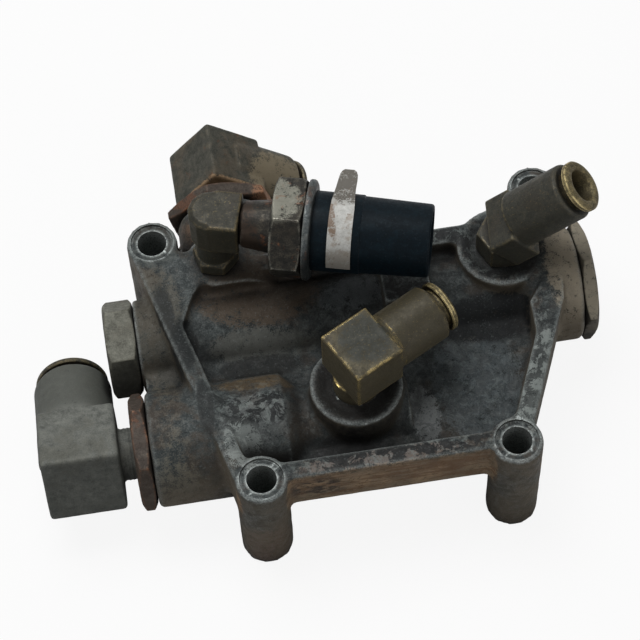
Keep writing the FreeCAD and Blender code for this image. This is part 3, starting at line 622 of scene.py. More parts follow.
castLook = {
    "dark": shade(34, 38, 39), "base": shade(60, 65, 65), "light": shade(98, 104, 103),
    "dirt": shade(60, 51, 42), "dirtFrom": 0.48, "dirtTo": 0.6, "dirtMost": 0.75,
    "side": shade(100, 92, 79), "sideMost": 0.8, "bottom": shade(70, 64, 56), "bottomMost": 0.6,
    "patches": [
        ((-36, 4, 28), (20, 9, 15), shade(112, 86, 64), 0.9),
        ((-28, -37, 33), (17, 5, 6), shade(88, 90, 85), 0.6),         # painted highlight with bare metal on the back bore's front flank
        ((-2, -27, 39), (11, 5, 4), shade(118, 126, 128), 0.8),
        ((-34, -52, 38), (15, 4, 6), shade(92, 78, 58), 0.9),
        ((-36, -66, 42), (12, 9, 5), shade(92, 95, 94), 0.6),         # rubbed top of the front bore
        ((48, -66, 43), (12, 20, 4), shade(126, 132, 129), 0.85),
        ((-2, -85, 43.5), (27, 3.5, 2), shade(112, 103, 97), 0.7),
        ((-42, -74, 40), (6, 10, 6), shade(136, 142, 139), 0.8),
        ((32, -60, 31), (15, 20, 4), shade(82, 90, 93), 0.7),         # open floor
        ((14, -67, 32), (5, 10, 6), shade(138, 142, 142), 0.85),
        ((0, -88, 33), (62, 3, 10), shade(196, 164, 126), 0.9),       # front wall
        ((-38, -92, 10), (9, 5, 14), shade(112, 84, 70), 0.65),
        ((-62, -26, 25), (12, 22, 30), shade(80, 77, 68), 0.75),      # left bosses
        ((-62, -63, 22), (14, 21, 20), shade(100, 96, 84), 0.8),
        ((66, -30, 26), (10, 28, 30), shade(152, 142, 124), 0.9)],    # right end
    "streaks": [((0, -88, 33), (62, 3, 10), shade(110, 84, 62), 0.8, (0.14, 1, 1)),
                ((-22, -87, 34), (9, 3, 6), shade(40, 34, 31), 0.9, (0.5, 1, 1))],
    "flakePlace": ((3, -45, 36), (61, 56, 16)), "rimPlace": ((0, -45, 43.4), (95, 75, 2)), "flakesInside": 0.4,
    "crust": shade(116, 123, 120), "crustMost": 0.55, "crustScale": 0.5,
    "flakes": 0.95, "flake": shade(20, 22, 23), "flakeScale": 0.22, "flakeFrom": 0.475,
    # stains, painted shade and a painted highlight, as marked below
    "stainsAndPaintedLight": [
        ((-30, -20, 38), (21, 13, 9), shade(78, 66, 53), 0.85),       # caked mud over the back bore
        ((0, -25, 36), (9, 6, 8), shade(108, 114, 116), 0.85),
        # more painted highlight on the same flank
        ((-34, -36, 34), (14, 5, 6), shade(98, 99, 94), 0.7),
        ((-33, -43, 30), (14, 4.5, 6), shade(26, 28, 27), 0.95),      # painted shade in the valley between the bores
        # painted shade in the deep pocket between the front bore, the front boss and the front wall
        ((-13, -79, 33), (12, 8, 14), shade(22, 24, 24), 0.95),
        ((-59.5, -28, 43), (3.4, 13, 4), shade(28, 31, 31), 0.9),        # dark outer half of the left rim
        # painted shade on the inner wall under the left rim
        ((-54.5, -37, 39), (4.5, 11, 9), shade(16, 20, 20), 1.0),
        ((-51, -60, 43), (2.5, 10, 4), shade(34, 36, 36), 0.8),
        # painted shadow under the end of the switch barrel, by the back boss
        ((26, -27, 31), (17, 12, 5), shade(22, 27, 29), 0.95),
        ((40, -38.5, 33), (19, 8, 8), shade(9, 13, 15), 1.0),          # shadowed corner before the back boss
        ((-5.6, -59.5, 40), (15, 15, 8), shade(40, 38, 35), 0.85),
        ((-60, 0, 43.5), (10, 10, 2), shade(68, 72, 69), 0.65)],
    "specks": 0.15, "speck": shade(140, 148, 148), "speckScale": 1.5,
    # grime with painted shade in the hollows, and a wider painted shadow in deep recesses
    "grimeAndShade": grimeAndShadeBlack, "grimeAndShadeMost": 0.9, "hollowSize": 7.0, "shadowSize": 30.0, "shadowMost": 0.82,
    "wearMost": 0.6, "wearSize": 1.2, "ridges": 0.8, "bare": shade(160, 166, 164),
    "metal": 0.1, "gloss": 0.25, "roughLow": 0.5, "roughHigh": 0.8, "bump": 0.65, "bumpDepth": 0.4,
}
elbowLook = {
    "dark": shade(74, 76, 72), "base": shade(104, 106, 101), "light": shade(126, 128, 121),
    "dirt": shade(84, 83, 74), "dirtMost": 0.5,
    # steep faces darker than the lit top: painted shade
    "side": shade(70, 72, 69), "sideMost": 0.75,
    "patches": [((-91, -36, 22), (16, 13, 16), shade(80, 82, 77), 0.8)],
    "specks": 0.12, "speck": shade(150, 152, 142), "speckScale": 3.0,
    "grimeAndShade": grimeAndShadeBlack, "grimeAndShadeMost": 0.75, "hollowSize": 4.0,
    "wearMost": 0.55, "wearSize": 1.2, "bare": shade(150, 152, 142),
    "metal": 0.08, "gloss": 0.25, "roughLow": 0.55, "roughHigh": 0.75, "bump": 0.4, "bumpDepth": 0.2,
}
serviceLook = dict(elbowLook, dark=shade(46, 46, 41), base=shade(66, 66, 59), light=shade(88, 85, 75),
                   dirt=shade(86, 76, 62), dirtFrom=0.48, dirtTo=0.6, dirtMost=0.5, patches=(),
                   bare=shade(156, 138, 110), wearMost=0.7,
                   stainsAndPaintedLight=[((-36, 20, 14), (16, 10, 7), shade(118, 92, 68), 0.9),
                           ((-36, 21, 30), (18, 2.2, 18), shade(158, 132, 102), 0.9),
                           ((-18, 27, 20), (13, 12, 18), shade(122, 112, 92), 0.9)],
                   rustMost=0.35, rustDark=rustRed, rustLight=rustOrange, rustFrom=0.6, rustScale=0.14)
brassLook = {
    "dark": shade(44, 40, 30), "base": shade(68, 63, 47), "light": shade(96, 87, 61),
    "dirt": shade(48, 44, 36), "dirtMost": 0.6,
    "side": shade(92, 86, 70), "sideMost": 0.65,
    "patches": [((-2, -57, 66), (10, 10, 3), shade(32, 35, 30), 0.9),   # patina on the front elbow
                ((16, -48, 62), (14, 14, 8), shade(54, 50, 38), 0.7)],
    "specks": 0.2, "speck": shade(150, 130, 84), "speckScale": 2.0,
    "grimeAndShade": shade(26, 23, 19), "grimeAndShadeMost": 0.85, "hollowSize": 4.0,
    "wearMost": 1.0, "wearSize": 1.4, "bare": shade(224, 196, 124),
    "metal": 0.2, "gloss": 0.3, "roughLow": 0.42, "roughHigh": 0.66, "bump": 0.45, "bumpDepth": 0.2,
}
bronzeLook = dict(brassLook, dark=shade(34, 34, 30), base=shade(52, 52, 46), light=shade(72, 69, 58),
                  side=shade(60, 59, 51), patches=(), bare=shade(148, 134, 98), wearMost=0.75)
switchElbowLook = dict(brassLook, dark=shade(36, 36, 30), base=shade(42, 41, 33), light=shade(62, 58, 45),
                       side=shade(66, 64, 53), bare=shade(168, 146, 98), wearMost=0.85,
                       patches=[((-41, -9.2, 49), (9, 9, 8), shade(40, 42, 39), 0.9)])
plugLook = {
    "dark": shade(70, 69, 62), "base": shade(100, 100, 91), "light": shade(122, 122, 111),
    "dirt": shade(76, 72, 62), "dirtMost": 0.55,
    # steep faces darker than the lit top: painted shade
    "side": shade(36, 36, 34), "sideMost": 0.9,
    "patches": [((72, -26, 30), (7, 24, 30), shade(142, 134, 118), 0.85)],
    "grimeAndShade": grimeAndShadeBlack, "grimeAndShadeMost": 0.75, "hollowSize": 3.5,
    "wearMost": 0.6, "wearSize": 1.2, "bare": shade(150, 146, 128),
    "metal": 0.12, "gloss": 0.25, "roughLow": 0.5, "roughHigh": 0.72, "bump": 0.4, "bumpDepth": 0.18,
}
adapterLook = dict(plugLook, dark=shade(45, 39, 35), base=shade(66, 59, 53), light=shade(92, 84, 75),
                   dirt=shade(62, 52, 45), side=shade(64, 54, 46), patches=(),
                   rustMost=0.7, rustDark=shade(72, 48, 37), rustLight=shade(112, 76, 54),
                   rustFrom=0.54, rustScale=0.1, bare=shade(136, 88, 56), wearMost=0.85,
                   stainsAndPaintedLight=[((-21, 14, 34), (9, 7, 9), shade(156, 116, 88), 0.85)])
hexLook = dict(plugLook, dark=shade(24, 24, 22), base=shade(41, 39, 35), light=shade(76, 71, 61),
               # steep faces darker than the top: painted shade
               dirt=shade(44, 38, 31), side=shade(28, 31, 31),
               # painted highlight on the top facets of the hex
               patches=[((-21, -14, 78), (7, 8, 4), shade(146, 146, 134), 0.5)],
               stainsAndPaintedLight=[((-32, -12, 64), (8, 12, 9), shade(48, 37, 29), 0.9)],
               rustMost=0.5, rustDark=rustRed, rustLight=rustOrange, rustFrom=0.58,
               metal=0.5, roughLow=0.34, roughHigh=0.6, bare=shade(178, 176, 162), wearMost=0.9)
# the collar keeps the hex's dark side colour: painted shade on its steep faces
collarLook = dict(hexLook, dark=shade(40, 44, 45), base=shade(70, 75, 76), light=shade(120, 124, 122),
                  patches=(), stainsAndPaintedLight=(), rustMost=0.25, bare=shade(150, 154, 150), wearMost=0.85)
barrelLook = {
    "dark": shade(6, 13, 17), "base": shade(8, 18, 24), "light": shade(14, 29, 36),
    "dirt": shade(12, 25, 31), "dirtMost": 0.3,
    "grimeAndShade": shade(10, 10, 11), "grimeAndShadeMost": 0.5, "hollowSize": 3.0,
    "wearMost": 0.35, "wearSize": 0.35, "bare": shade(74, 80, 86),
    "specks": 0.12, "speck": shade(70, 76, 80), "speckScale": 1.6,
    "metal": 0.0, "gloss": 0.08, "roughLow": 0.42, "roughHigh": 0.6, "bump": 0.25, "bumpDepth": 0.1,
}
paperLook = {
    "dark": shade(158, 157, 151), "base": shade(184, 184, 180), "light": shade(208, 208, 204),
    "dirt": shade(132, 116, 98), "dirtFrom": 0.53, "dirtTo": 0.62, "dirtMost": 0.6, "broad": 0.16,
    "patches": [((0, -9, 79), (9, 9.5, 9), shade(76, 71, 62), 1.0),   # stained tail and lower end
                ((-6.8, -19, 76), (1.7, 9, 6), shade(110, 88, 68), 0.9),
                ((-6, -31, 66), (9, 4, 6), shade(128, 120, 108), 0.7)],
    "specks": 0.5, "speck": shade(92, 76, 62), "speckScale": 0.9,
    "grimeAndShade": shade(60, 50, 42), "grimeAndShadeMost": 0.5, "hollowSize": 1.5,
    "metal": 0.0, "gloss": 0.4, "roughLow": 0.45, "roughHigh": 0.6, "bump": 0.2, "bumpDepth": 0.06,
}
finishes = {
    "cast": weatheredFinish("oxidisedCasting", castLook),
    "supply": weatheredFinish("greyElbowMetal", elbowLook),
    "service": weatheredFinish("stainedElbowMetal", serviceLook),
    "brass": weatheredFinish("patinatedBrass", brassLook),
    "bronze": weatheredFinish("darkBronze", bronzeLook),
    "smallElbow": weatheredFinish("dullSmallElbow", switchElbowLook),
    "plug": weatheredFinish("dullPlating", plugLook),
    "adapter": weatheredFinish("rustedHex", adapterLook),
    "hex": weatheredFinish("stainedHex", hexLook),
    "collar": weatheredFinish("stainedCollar", collarLook),
    "barrel": weatheredFinish("dustyBlackMoulding", barrelLook),
    "paper": weatheredFinish("stainedPaper", paperLook),
    "collet": weatheredFinish("wornColletBrass", dict(brassLook, wearMost=1.0, wearSize=1.0, metal=0.5, hollowSize=9.0,
                                                      base=shade(96, 88, 64), light=shade(150, 136, 98),
                                                      side=shade(104, 94, 70), specks=0.5,
                                                      bare=shade(248, 226, 164),
                                                      patches=())),
    "rubber": plainFinish("oldRubber", shade(18, 18, 18), shade(34, 33, 32), 0.0, 0.7, 1.6, dust=shade(60, 54, 46)),
    "bright": plainFinish("turnedBrass", shade(176, 146, 84), shade(206, 176, 108), 0.9, 0.34, 1.2),
    "aluminium": plainFinish("turnedAluminium", shade(168, 170, 172), shade(196, 198, 200), 0.9, 0.36, 1.2),
    "spring": plainFinish("drawnSpringWire", shade(120, 122, 126), shade(158, 160, 164), 0.9, 0.34, 2.0),
    "nylon": plainFinish("mouldedBlack", shade(20, 22, 25), shade(32, 35, 38), 0.0, 0.5, 1.4),
}
print("finishes mixed:", len(finishes))


# Places that the pieces share
boreA = Vector((0, -25.7, 24.8))
boreB = Vector((0, -62.3, 24.8))
backPort = Vector((-36.2, 0, 27.6))
frontPort = Vector((-5.6, -59.5, 0))
angledPort = Vector((46.6, -19.4, 0))
switchPort = Vector((-41.0, -9.2, 0))

# The casting
casting = {
    "height": 43.0, "floorLow": 25.0, "floorTop": 31.0, "rim": 6.0, "pocketRound": 4.0,
    "legs": ((-60, 0), (60, 0), (-38, -86), (38, -86)), "legRadius": 8.0,
    "holeRadius": 4.5, "seatRadius": 6.6, "seatDepth": 0.8,
    "outline": ((-67.557, -1.933), (-45.557, -87.5), (44.2, -87.5), (44.2, -81.2),
                (62.0, -40.0), (67.2, -3.2), (60.0, -9.5), (-60.0, -9.5)),
    "web": ((-60, 0), (-41, -9.2), (-50, -21), (-53.88, -30.0), (-59.88, -30.0)),
    "boreWebLow": (-68, -62.3, 18.8), "boreWebHigh": (-50, -25.7, 30.8),
    "rightWeb": ((51, -40), (50.8, -49.9), (57.7, -49.9), (62, -40), (60, -28)),
    "padLow": (7.5, -33.2, 24.8), "padHigh": (22.5, -18.2, 42.5),
    "tubeA": 14.5, "endA": 18.0, "endStart": 52.0, "endSlope": 2.5, "rightFace": 69.0, "leftFace": 69.0,
    "tubeB": 12.4, "endB": 17.7, "endBStart": 28.0, "endBSlope": 5.0, "faceB": 69.2, "innerEndB": -10.0,
    "servicePort": 15.4, "serviceFace": 13.0, "topBoss": 14.2, "switchBoss": 9.5, "seatTop": 41.5, "seat": 8.8, "dish": 12.6,
    "skin": 0.8, "softening": 6, "dent": 0.22, "dentSize": 6.0,
}


def insetOutline(corners, distance):
    # the outline moved inwards by a distance, corner by corner
    result = []
    count = len(corners)
    for i in range(count):
        before, here, after = (Vector(corners[(i + k) % count]) for k in (-1, 0, 1))
        first = (here - before).normalized()
        second = (after - here).normalized()
        leftFirst, leftSecond = Vector((-first.y, first.x)), Vector((-second.y, second.x))
        share = distance / (1 + leftFirst.dot(leftSecond))
        result.append(tuple(here + (leftFirst + leftSecond) * share))
    return result


def tube(name, radius, start, end, soft, origin, direction):
    piece = turnedPiece(name, [(start, 0), (start, radius), (end - soft, radius), (end, radius - soft), (end, 0)])
    return aimPiece(piece, origin, direction)


def boreSlope(step, length, radius, endRadius, origin, direction):
    # the cone that leads from a bore's tube to its wider end
    piece = turnedPiece("boreSlope", [(step - length, 0), (step - length, radius), (step, endRadius),
                                      (step + 1, endRadius), (step + 1, 0)])
    return aimPiece(piece, origin, direction)


def castingVolumes():
    c = casting
    walls = prismPiece("walls", c["outline"], c["floorLow"], c["height"])
    pocket = prismPiece("pocket", insetOutline(c["outline"], c["rim"]), c["floorTop"], c["height"] + 10)
    bevelEdges(pocket, c["pocketRound"], 6, lambda first, second: abs(first.z - second.z) > 1)
    combine(walls, pocket, "DIFFERENCE")
    volumes = [walls]
    for x, y in c["legs"]:
        volumes.append(tube("leg", c["legRadius"], 0, c["height"], 0.5, Vector((x, y, 0)), up))
    volumes.append(tube("pistonBore", c["tubeA"], -c["leftFace"], c["endStart"] + 1, 1.0, boreA, toRight))
    volumes.append(tube("pistonBoreEnd", c["endA"], c["endStart"], c["rightFace"], 1.0, boreA, toRight))
    volumes.append(boreSlope(c["endStart"], c["endSlope"], c["tubeA"], c["endA"], boreA, toRight))
    volumes.append(boreSlope(c["endBStart"], c["endBSlope"], c["tubeB"], c["endB"], boreB, toLeft))
    volumes.append(blockPiece("tubePad", c["padLow"], c["padHigh"]))
    volumes.append(tube("supplyBore", c["endB"], c["endBStart"], c["faceB"], 1.0, boreB, toLeft))
    volumes.append(tube("supplyBoreInner", c["tubeB"], c["innerEndB"], c["endBStart"] + 8, 1.0, boreB, toLeft))
    volumes.append(tube("servicePort", c["servicePort"], boreA.y + c["tubeA"] / 2, c["serviceFace"], 1.0, backPort, toBack))
    for port, radius in ((frontPort, c["topBoss"]), (angledPort, c["topBoss"]), (switchPort, c["switchBoss"])):
        volumes.append(tube("topBoss", radius, boreA.z, c["height"], 0.6, port, up))
    volumes.append(prismPiece("cornerWeb", c["web"], c["floorLow"], c["height"]))
    volumes.append(prismPiece("rightWeb", c["rightWeb"], c["floorLow"], c["height"]))
    volumes.append(blockPiece("boreWeb", c["boreWebLow"], c["boreWebHigh"]))
    return volumes


def boltHoles():
    c = casting
    holes = []
    seat = c["height"] - c["seatDepth"]
    for x, y in c["legs"]:
        hole = turnedPiece("boltHole", [(-8, 0), (-8, c["holeRadius"]), (seat, c["holeRadius"]), (seat, c["seatRadius"]),
                                        (seat + 8, c["seatRadius"]), (seat + 8, 0)], 48)
        holes.append(aimPiece(hole, Vector((x, y, 0)), up))
    return holes


def sideBores():
    # stepped bores with a recess in each face for its rubber ring
    a = turnedPiece("boreACut", [(-77, 0), (-77, 12), (-67.2, 12), (-67.2, 10), (-17.3, 10), (-17.3, 10.8),
                                 (-16.1, 10.8), (-16.1, 10), (10, 10), (10, 11.5), (54.5, 11.5), (54.5, 13),
                                 (67, 13), (67, 15.4), (77, 15.4), (77, 0)], 96)
    b = turnedPiece("boreBCut", [(-5, 0), (-5, 8), (55.2, 8), (55.2, 12), (67.2, 12), (67.2, 14.2),
                                 (77, 14.2), (77, 0)], 96)
    return [aimPiece(a, boreA, toRight), aimPiece(b, boreB, toLeft)]


def portHoles():
    service = turnedPiece("servicePortCut", [(-25.7, 0), (-25.7, 8), (-1, 8), (-1, 12), (11, 12), (11, 14.2),
                                             (21, 14.2), (21, 0)], 96)
    holes = [aimPiece(service, backPort, toBack)]
    for centre in (frontPort, angledPort):
        hole = turnedPiece("portCut", [(24.8, 0), (24.8, 4.5), (32.5, 4.5), (32.5, 6.6), (51, 6.6), (51, 0)])
        holes.append(aimPiece(hole, centre, up))
    small = turnedPiece("switchPortCut", [(24.8, 0), (24.8, 4.5), (34, 4.5), (34, 4.9), (51, 4.9), (51, 0)], 48)
    holes.append(aimPiece(small, switchPort, up))
    return holes


def bossDishes():
    # the shallow dish that each top fitting sits in
    seat, height = casting["seatTop"], casting["height"]
    dishes = []
    for centre in (frontPort, angledPort):
        dish = turnedPiece("dish", [(seat, 0), (seat, casting["seat"]), (height, casting["dish"]),
                                    (height + 10, casting["dish"]), (height + 10, 0)])
        dishes.append(aimPiece(dish, centre, up))
    return dishes


def buildCasting():
    c = casting
    shell = joinPieces("castBody", castingVolumes())
    meltTogether(shell, c["skin"], 0)
    combine(shell, joinPieces("dishes", bossDishes()), "DIFFERENCE")
    meltTogether(shell, c["skin"], c["softening"], c["dent"], c["dentSize"])
    combine(shell, joinPieces("firstCuts", boltHoles() + sideBores()), "DIFFERENCE")
    combine(shell, joinPieces("secondCuts", portHoles()), "DIFFERENCE")
    finishPiece(shell, "casting", ["body_casting"], finishes["cast"], 50)
    print("casting:", len(shell.data.polygons), "faces")


buildCasting()

# Hex plugs, caps and adapters
rightCap = {"flats": 33.0, "face": 69.0, "height": 4.5, "turn": 11.5, "skirt": 13.0, "depth": 3.0}
leftPlug = {"flats": 27.6, "face": 69.0, "height": 9.5, "turn": 17.3, "shank": 10.0, "depth": 11.0, "hollow": 5.0}
adapter = {"flats": 32.0, "height": 5.0, "turn": 15.9, "shank": 12.0, "depth": 12.8}


def faceRing(name, outer, inner, depth, face, origin, direction, node):
    # a rubber ring squeezed into a face recess
    minor = min((outer - inner) / 2, depth / 2)
    clearSelection()
    bpy.ops.mesh.primitive_torus_add(major_radius=(outer + inner) / 2, minor_radius=minor, major_segments=72,
                                     minor_segments=14, location=(0, 0, face - depth + minor))
    ring = newPrimitive(name)
    startEdit(ring)
    bpy.ops.transform.resize(value=(1, 1, 0.97), center_override=(0, 0, face - depth + minor))  # squeezed flat
    endEdit()
    aimPiece(ring, origin, direction)
    finishPiece(ring, "casting", [node], finishes["rubber"])


def buildRightCap():
    c = rightCap
    face, top = c["face"], c["face"] + c["height"]
    hexagon = hexPiece("pistonCap", c["flats"], face, top, c["turn"], 1.2)
    skirt = turnedPiece("skirt", [(face - c["depth"], 0), (face - c["depth"], c["skirt"]),
                                  (face + 1, c["skirt"]), (face + 1, 0)])
    cap = joinPieces("pistonCap", [hexagon, skirt])
    meltTogether(cap, 0.34, 3, 0.12, 3.0)
    cavity = turnedPiece("cavity", [(face - 9, 0), (face - 9, 9), (face - 3, 9), (top - 2, 8.1), (top - 2, 0)])
    combine(cap, cavity, "DIFFERENCE")
    aimPiece(cap, boreA, toRight)
    finishPiece(cap, "casting", ["right_cap"], finishes["plug"])
    faceRing("capRing", 15.4, 13.0, 2.0, face, boreA, toRight, "right_cap_oring")


def buildLeftPlug():
    c = leftPlug
    face, shank = c["face"], c["shank"]
    hexagon = hexPiece("borePlug", c["flats"], face, face + c["height"], c["turn"], 1.2)
    foot = face - c["depth"]
    stem = turnedPiece("shank", [(foot, 0), (foot, shank - 1.2), (foot + 1.2, shank), (face + 1, shank), (face + 1, 0)])
    plug = joinPieces("borePlug", [hexagon, stem])
    meltTogether(plug, 0.34, 3, 0.15, 3.5)
    hollow = turnedPiece("hollow", [(foot - 8, 0), (foot - 8, c["hollow"]), (face, c["hollow"]), (face, 0)], 48)
    combine(plug, hollow, "DIFFERENCE")
    aimPiece(plug, boreA, toLeft)
    finishPiece(plug, "casting", ["left_plug"], finishes["plug"])
    faceRing("plugRing", 12.0, 10.0, 1.8, face, boreA, toLeft, "left_plug_oring")


def buildAdapter(name, neck, face, origin, direction, node):
    c = adapter
    hexagon = hexPiece(name, c["flats"], face, face + c["height"], c["turn"], 1.2)
    stem = turnedPiece("shank", [(face - c["depth"], 0), (face - c["depth"], c["shank"]),
                                 (face + 1, c["shank"]), (face + 1, 0)])
    piece = joinPieces(name, [hexagon, stem])
    meltTogether(piece, 0.34, 3, 0.18, 3.0)
    hollow = turnedPiece("hollow", [(face - 30, 0), (face - 30, neck - 2.1), (face - 4, neck - 2.1), (face - 4, neck),
                                    (face + 20, neck), (face + 20, 0)])
    combine(piece, hollow, "DIFFERENCE")
    aimPiece(piece, origin, direction)
    finishPiece(piece, "casting", [node], finishes["adapter"])
    faceRing(name + "Ring", 14.2, 12.0, 2.0, face, origin, direction, node + "_oring")


buildRightCap()
buildLeftPlug()
buildAdapter("supplyHex", 8.2, 69.2, boreB, toLeft, "supply_adapter")
buildAdapter("serviceHex", 7.4, 13.0, backPort, toBack, "service_adapter")
print("plugs, cap and adapters made")

# Elbows that grip a tube pushed into them, each with its release collet
smallEnd = {"tube": 4.76, "body": 8.9}
largeEnd = {"tube": 7.94, "body": 12.2}
supplyElbow = {"name": "supplyElbow", "node": "supply_elbow", "finish": "supply", "side": 23.8, "long": 23.8,
               "neck": 8.2, "neckLength": 4.2, "reach": 32.2, "shift": 1.0, "drop": 20}
serviceElbow = {"name": "serviceElbow", "node": "service_elbow", "finish": "service", "side": 21.6, "long": 20.8,
                "neck": 7.4, "neckLength": 3.6, "reach": 25.2, "shift": 0.5, "drop": 40}
frontElbow = {"low": (-5.95, -9.25, 48.0), "high": (10.75, 9.25, 64.5), "shoulder": 7.0, "height": 55.25,
              "reach": 28.8, "turn": 28}
angledElbow = {"low": (-4.6, -9.1, -3.0), "high": (8.6, 9.1, 6.5), "height": 53.0, "neckFlats": 14.5,
               "reach": 27.2, "rise": 43, "turn": -6}


def endSteps(size):
    # radii of the stepped tube hole, and depths of its seal, seat and stop
    inner = size["tube"] + 0.1
    sleeve = inner + 1.1
    return {"inner": inner, "sleeve": sleeve, "bore": sleeve + 0.05, "groove": sleeve + 0.6,
            "airway": inner - 1.6, "seal": 9.7, "seat": 11.9, "stop": 18.5}


def tubeHole(size, end):
    d = endSteps(size)
    return turnedPiece("tubeHole", [(0, 0), (0, d["airway"]), (end - d["stop"], d["airway"]),
                                    (end - d["stop"], d["inner"]), (end - d["seat"], d["inner"]),
                                    (end - d["seat"], d["groove"]), (end - d["seal"], d["groove"]),
                                    (end - d["seal"], d["bore"]), (end + 3, d["bore"]), (end + 3, 0)])


def armPiece(radius, start, end, extra=()):
    steps = [(start, 0), (start, radius), *extra, (end - 0.8, radius), (end, radius - 0.8), (end, 0)]
    return turnedPiece("arm", steps, 96)


def buildCollet(name, size, end, origin, direction, node, finish):
    d = endSteps(size)
    flange = size["body"] - 0.9
    low = end + 1.8
    high = low + 2.2
    collet = turnedPiece(name, [(end - 8, d["inner"]), (end - 8, d["sleeve"]), (low, d["sleeve"]),
                                (low, flange - 0.3), (low + 0.3, flange), (low + 1.4, flange), (high - 0.3, flange - 0.5),
                                (high, flange - 1.0), (high, d["inner"] + 0.9), (high - 0.3, d["inner"] + 0.35),
                                (high - 0.9, d["inner"]), (end - 8, d["inner"])], 96)
    aimPiece(collet, origin, direction)
    finishPiece(collet, node, [node], finishes[finish], 35)


def threadedNeck(c):
    # the swivel neck with its turned grooves
    pitch, depth, neck, length = 1.2, 0.55, c["neck"], c["neckLength"]
    rings = []
    for turn in range(int(length / pitch)):
        rings += [(turn * pitch, neck), (turn * pitch + pitch / 2, neck - depth)]
    return turnedPiece("neck", [(-8.2, 0), (-8.2, neck), *rings, (length - 0.2, neck), (length + 1, neck), (length + 1, 0)])


def buildSideElbow(c, mouth, outward, arm):
    # forged elbow: neck along +Z, square block, round arm along +X
    middle = c["neckLength"] + c["long"] / 2 + c["shift"]
    half = c["side"] / 2
    block = blockPiece(c["name"], (-half, -half, c["neckLength"]), (half, half, c["neckLength"] + c["long"]))
    bevelEdges(block, 1.3, 3, allEdges)
    limb = aimPiece(armPiece(largeEnd["body"], 0, c["reach"]), Vector((0, 0, middle)), toRight)
    body = joinPieces(c["name"], [block, threadedNeck(c), limb])
    meltTogether(body, 0.4, 4, 0.2, 7.0)
    combine(body, aimPiece(tubeHole(largeEnd, c["reach"]), Vector((0, 0, middle)), toRight), "DIFFERENCE")
    airway = min(endSteps(largeEnd)["airway"], c["neck"] - 2.1)
    combine(body, turnedPiece("airway", [(-20, 0), (-20, airway), (middle, airway), (middle, 0)]), "DIFFERENCE")
    framePiece(body, mouth, arm, outward.cross(arm), outward)
    finishPiece(body, "casting", [c["node"]], finishes[c["finish"]], 45)
    return mouth + outward * middle


def buildSupply():
    drop = math.radians(supplyElbow["drop"])
    arm = Vector((0, math.cos(drop), -math.sin(drop)))
    mouth = boreB + toLeft * (casting["faceB"] + adapter["height"])
    start = buildSideElbow(supplyElbow, mouth, toLeft, arm)
    buildCollet("supplyCollet", largeEnd, supplyElbow["reach"], start, arm, "supply_collet", "bronze")


def buildService():
    drop = math.radians(serviceElbow["drop"])
    arm = Vector((math.cos(drop), 0, -math.sin(drop)))
    mouth = backPort + toBack * (casting["serviceFace"] + adapter["height"])
    start = buildSideElbow(serviceElbow, mouth, toBack, arm)
    buildCollet("serviceCollet", largeEnd, serviceElbow["reach"], start, arm, "service_collet", "bronze")


def buildFrontElbow():
    c = frontElbow
    turn = math.radians(c["turn"])
    arm = Vector((math.cos(turn), math.sin(turn), 0))
    axis = Vector((0, 0, c["height"]))
    block = blockPiece("frontElbow", c["low"], c["high"])
    bevelEdges(block, 0.5, 2, allEdges)
    shoulder = turnedPiece("shoulder", [(32.5, 0), (32.5, 6.6), (41.5, 6.6), (41.5, c["shoulder"]),
                                        (49, c["shoulder"]), (49, 0)])
    ring = [(11.6, 8.9), (11.8, 8.65), (12.2, 8.65), (12.4, 8.9)]  # a line turned in the arm
    limb = aimPiece(armPiece(smallEnd["body"], 0, c["reach"], ring), axis, toRight)
    body = joinPieces("frontElbow", [block, shoulder, limb])
    meltTogether(body, 0.3, 3, 0.14, 3.0)
    combine(body, aimPiece(tubeHole(smallEnd, c["reach"]), axis, toRight), "DIFFERENCE")
    airway = endSteps(smallEnd)["airway"]
    combine(body, turnedPiece("airway", [(20, 0), (20, airway), (axis.z, airway), (axis.z, 0)]), "DIFFERENCE")
    framePiece(body, frontPort, arm, up.cross(arm), up)
    finishPiece(body, "casting", ["front_elbow"], finishes["brass"], 45)
    buildCollet("frontCollet", smallEnd, c["reach"], frontPort + axis, arm, "front_collet", "collet")


def buildAngledElbow():
    c = angledElbow
    rise, turn = math.radians(c["rise"]), math.radians(c["turn"])
    arm = Vector((math.cos(rise) * math.cos(turn), math.cos(rise) * math.sin(turn), math.sin(rise)))
    flat = Vector((math.cos(rise), 0, math.sin(rise)))
    axis = Vector((0, 0, c["height"]))
    block = blockPiece("angledElbow", c["low"], c["high"])
    bevelEdges(block, 0.6, 2, allEdges)
    block.matrix_world = Matrix.Translation(axis) @ Matrix.Rotation(math.pi / 2 - rise, 4, "Y")
    settle(block)
    neck = hexPiece("neck", c["neckFlats"], 41.5, 50.7, 0, 0.8)
    thread = turnedPiece("thread", [(33.3, 0), (33.3, 6.6), (42.5, 6.6), (42.5, 0)])
    limb = aimPiece(armPiece(smallEnd["body"], c["high"][2], c["reach"]), axis, flat)
    body = joinPieces("angledElbow", [block, neck, thread, limb])
    meltTogether(body, 0.3, 3, 0.14, 3.0)
    combine(body, aimPiece(tubeHole(smallEnd, c["reach"]), axis, flat), "DIFFERENCE")
    airway = endSteps(smallEnd)["airway"]
    combine(body, turnedPiece("airway", [(20, 0), (20, airway), (axis.z, airway), (axis.z, 0)]), "DIFFERENCE")
    across = Vector((-math.sin(turn), math.cos(turn), 0))
    framePiece(body, angledPort, Vector((math.cos(turn), math.sin(turn), 0)), across, up)
    finishPiece(body, "casting", ["angled_elbow"], finishes["bronze"], 45)
    buildCollet("angledCollet", smallEnd, c["reach"], angledPort + axis, arm, "angled_collet", "collet")


buildSupply()
buildService()
buildFrontElbow()
buildAngledElbow()
print("elbows and collets made")

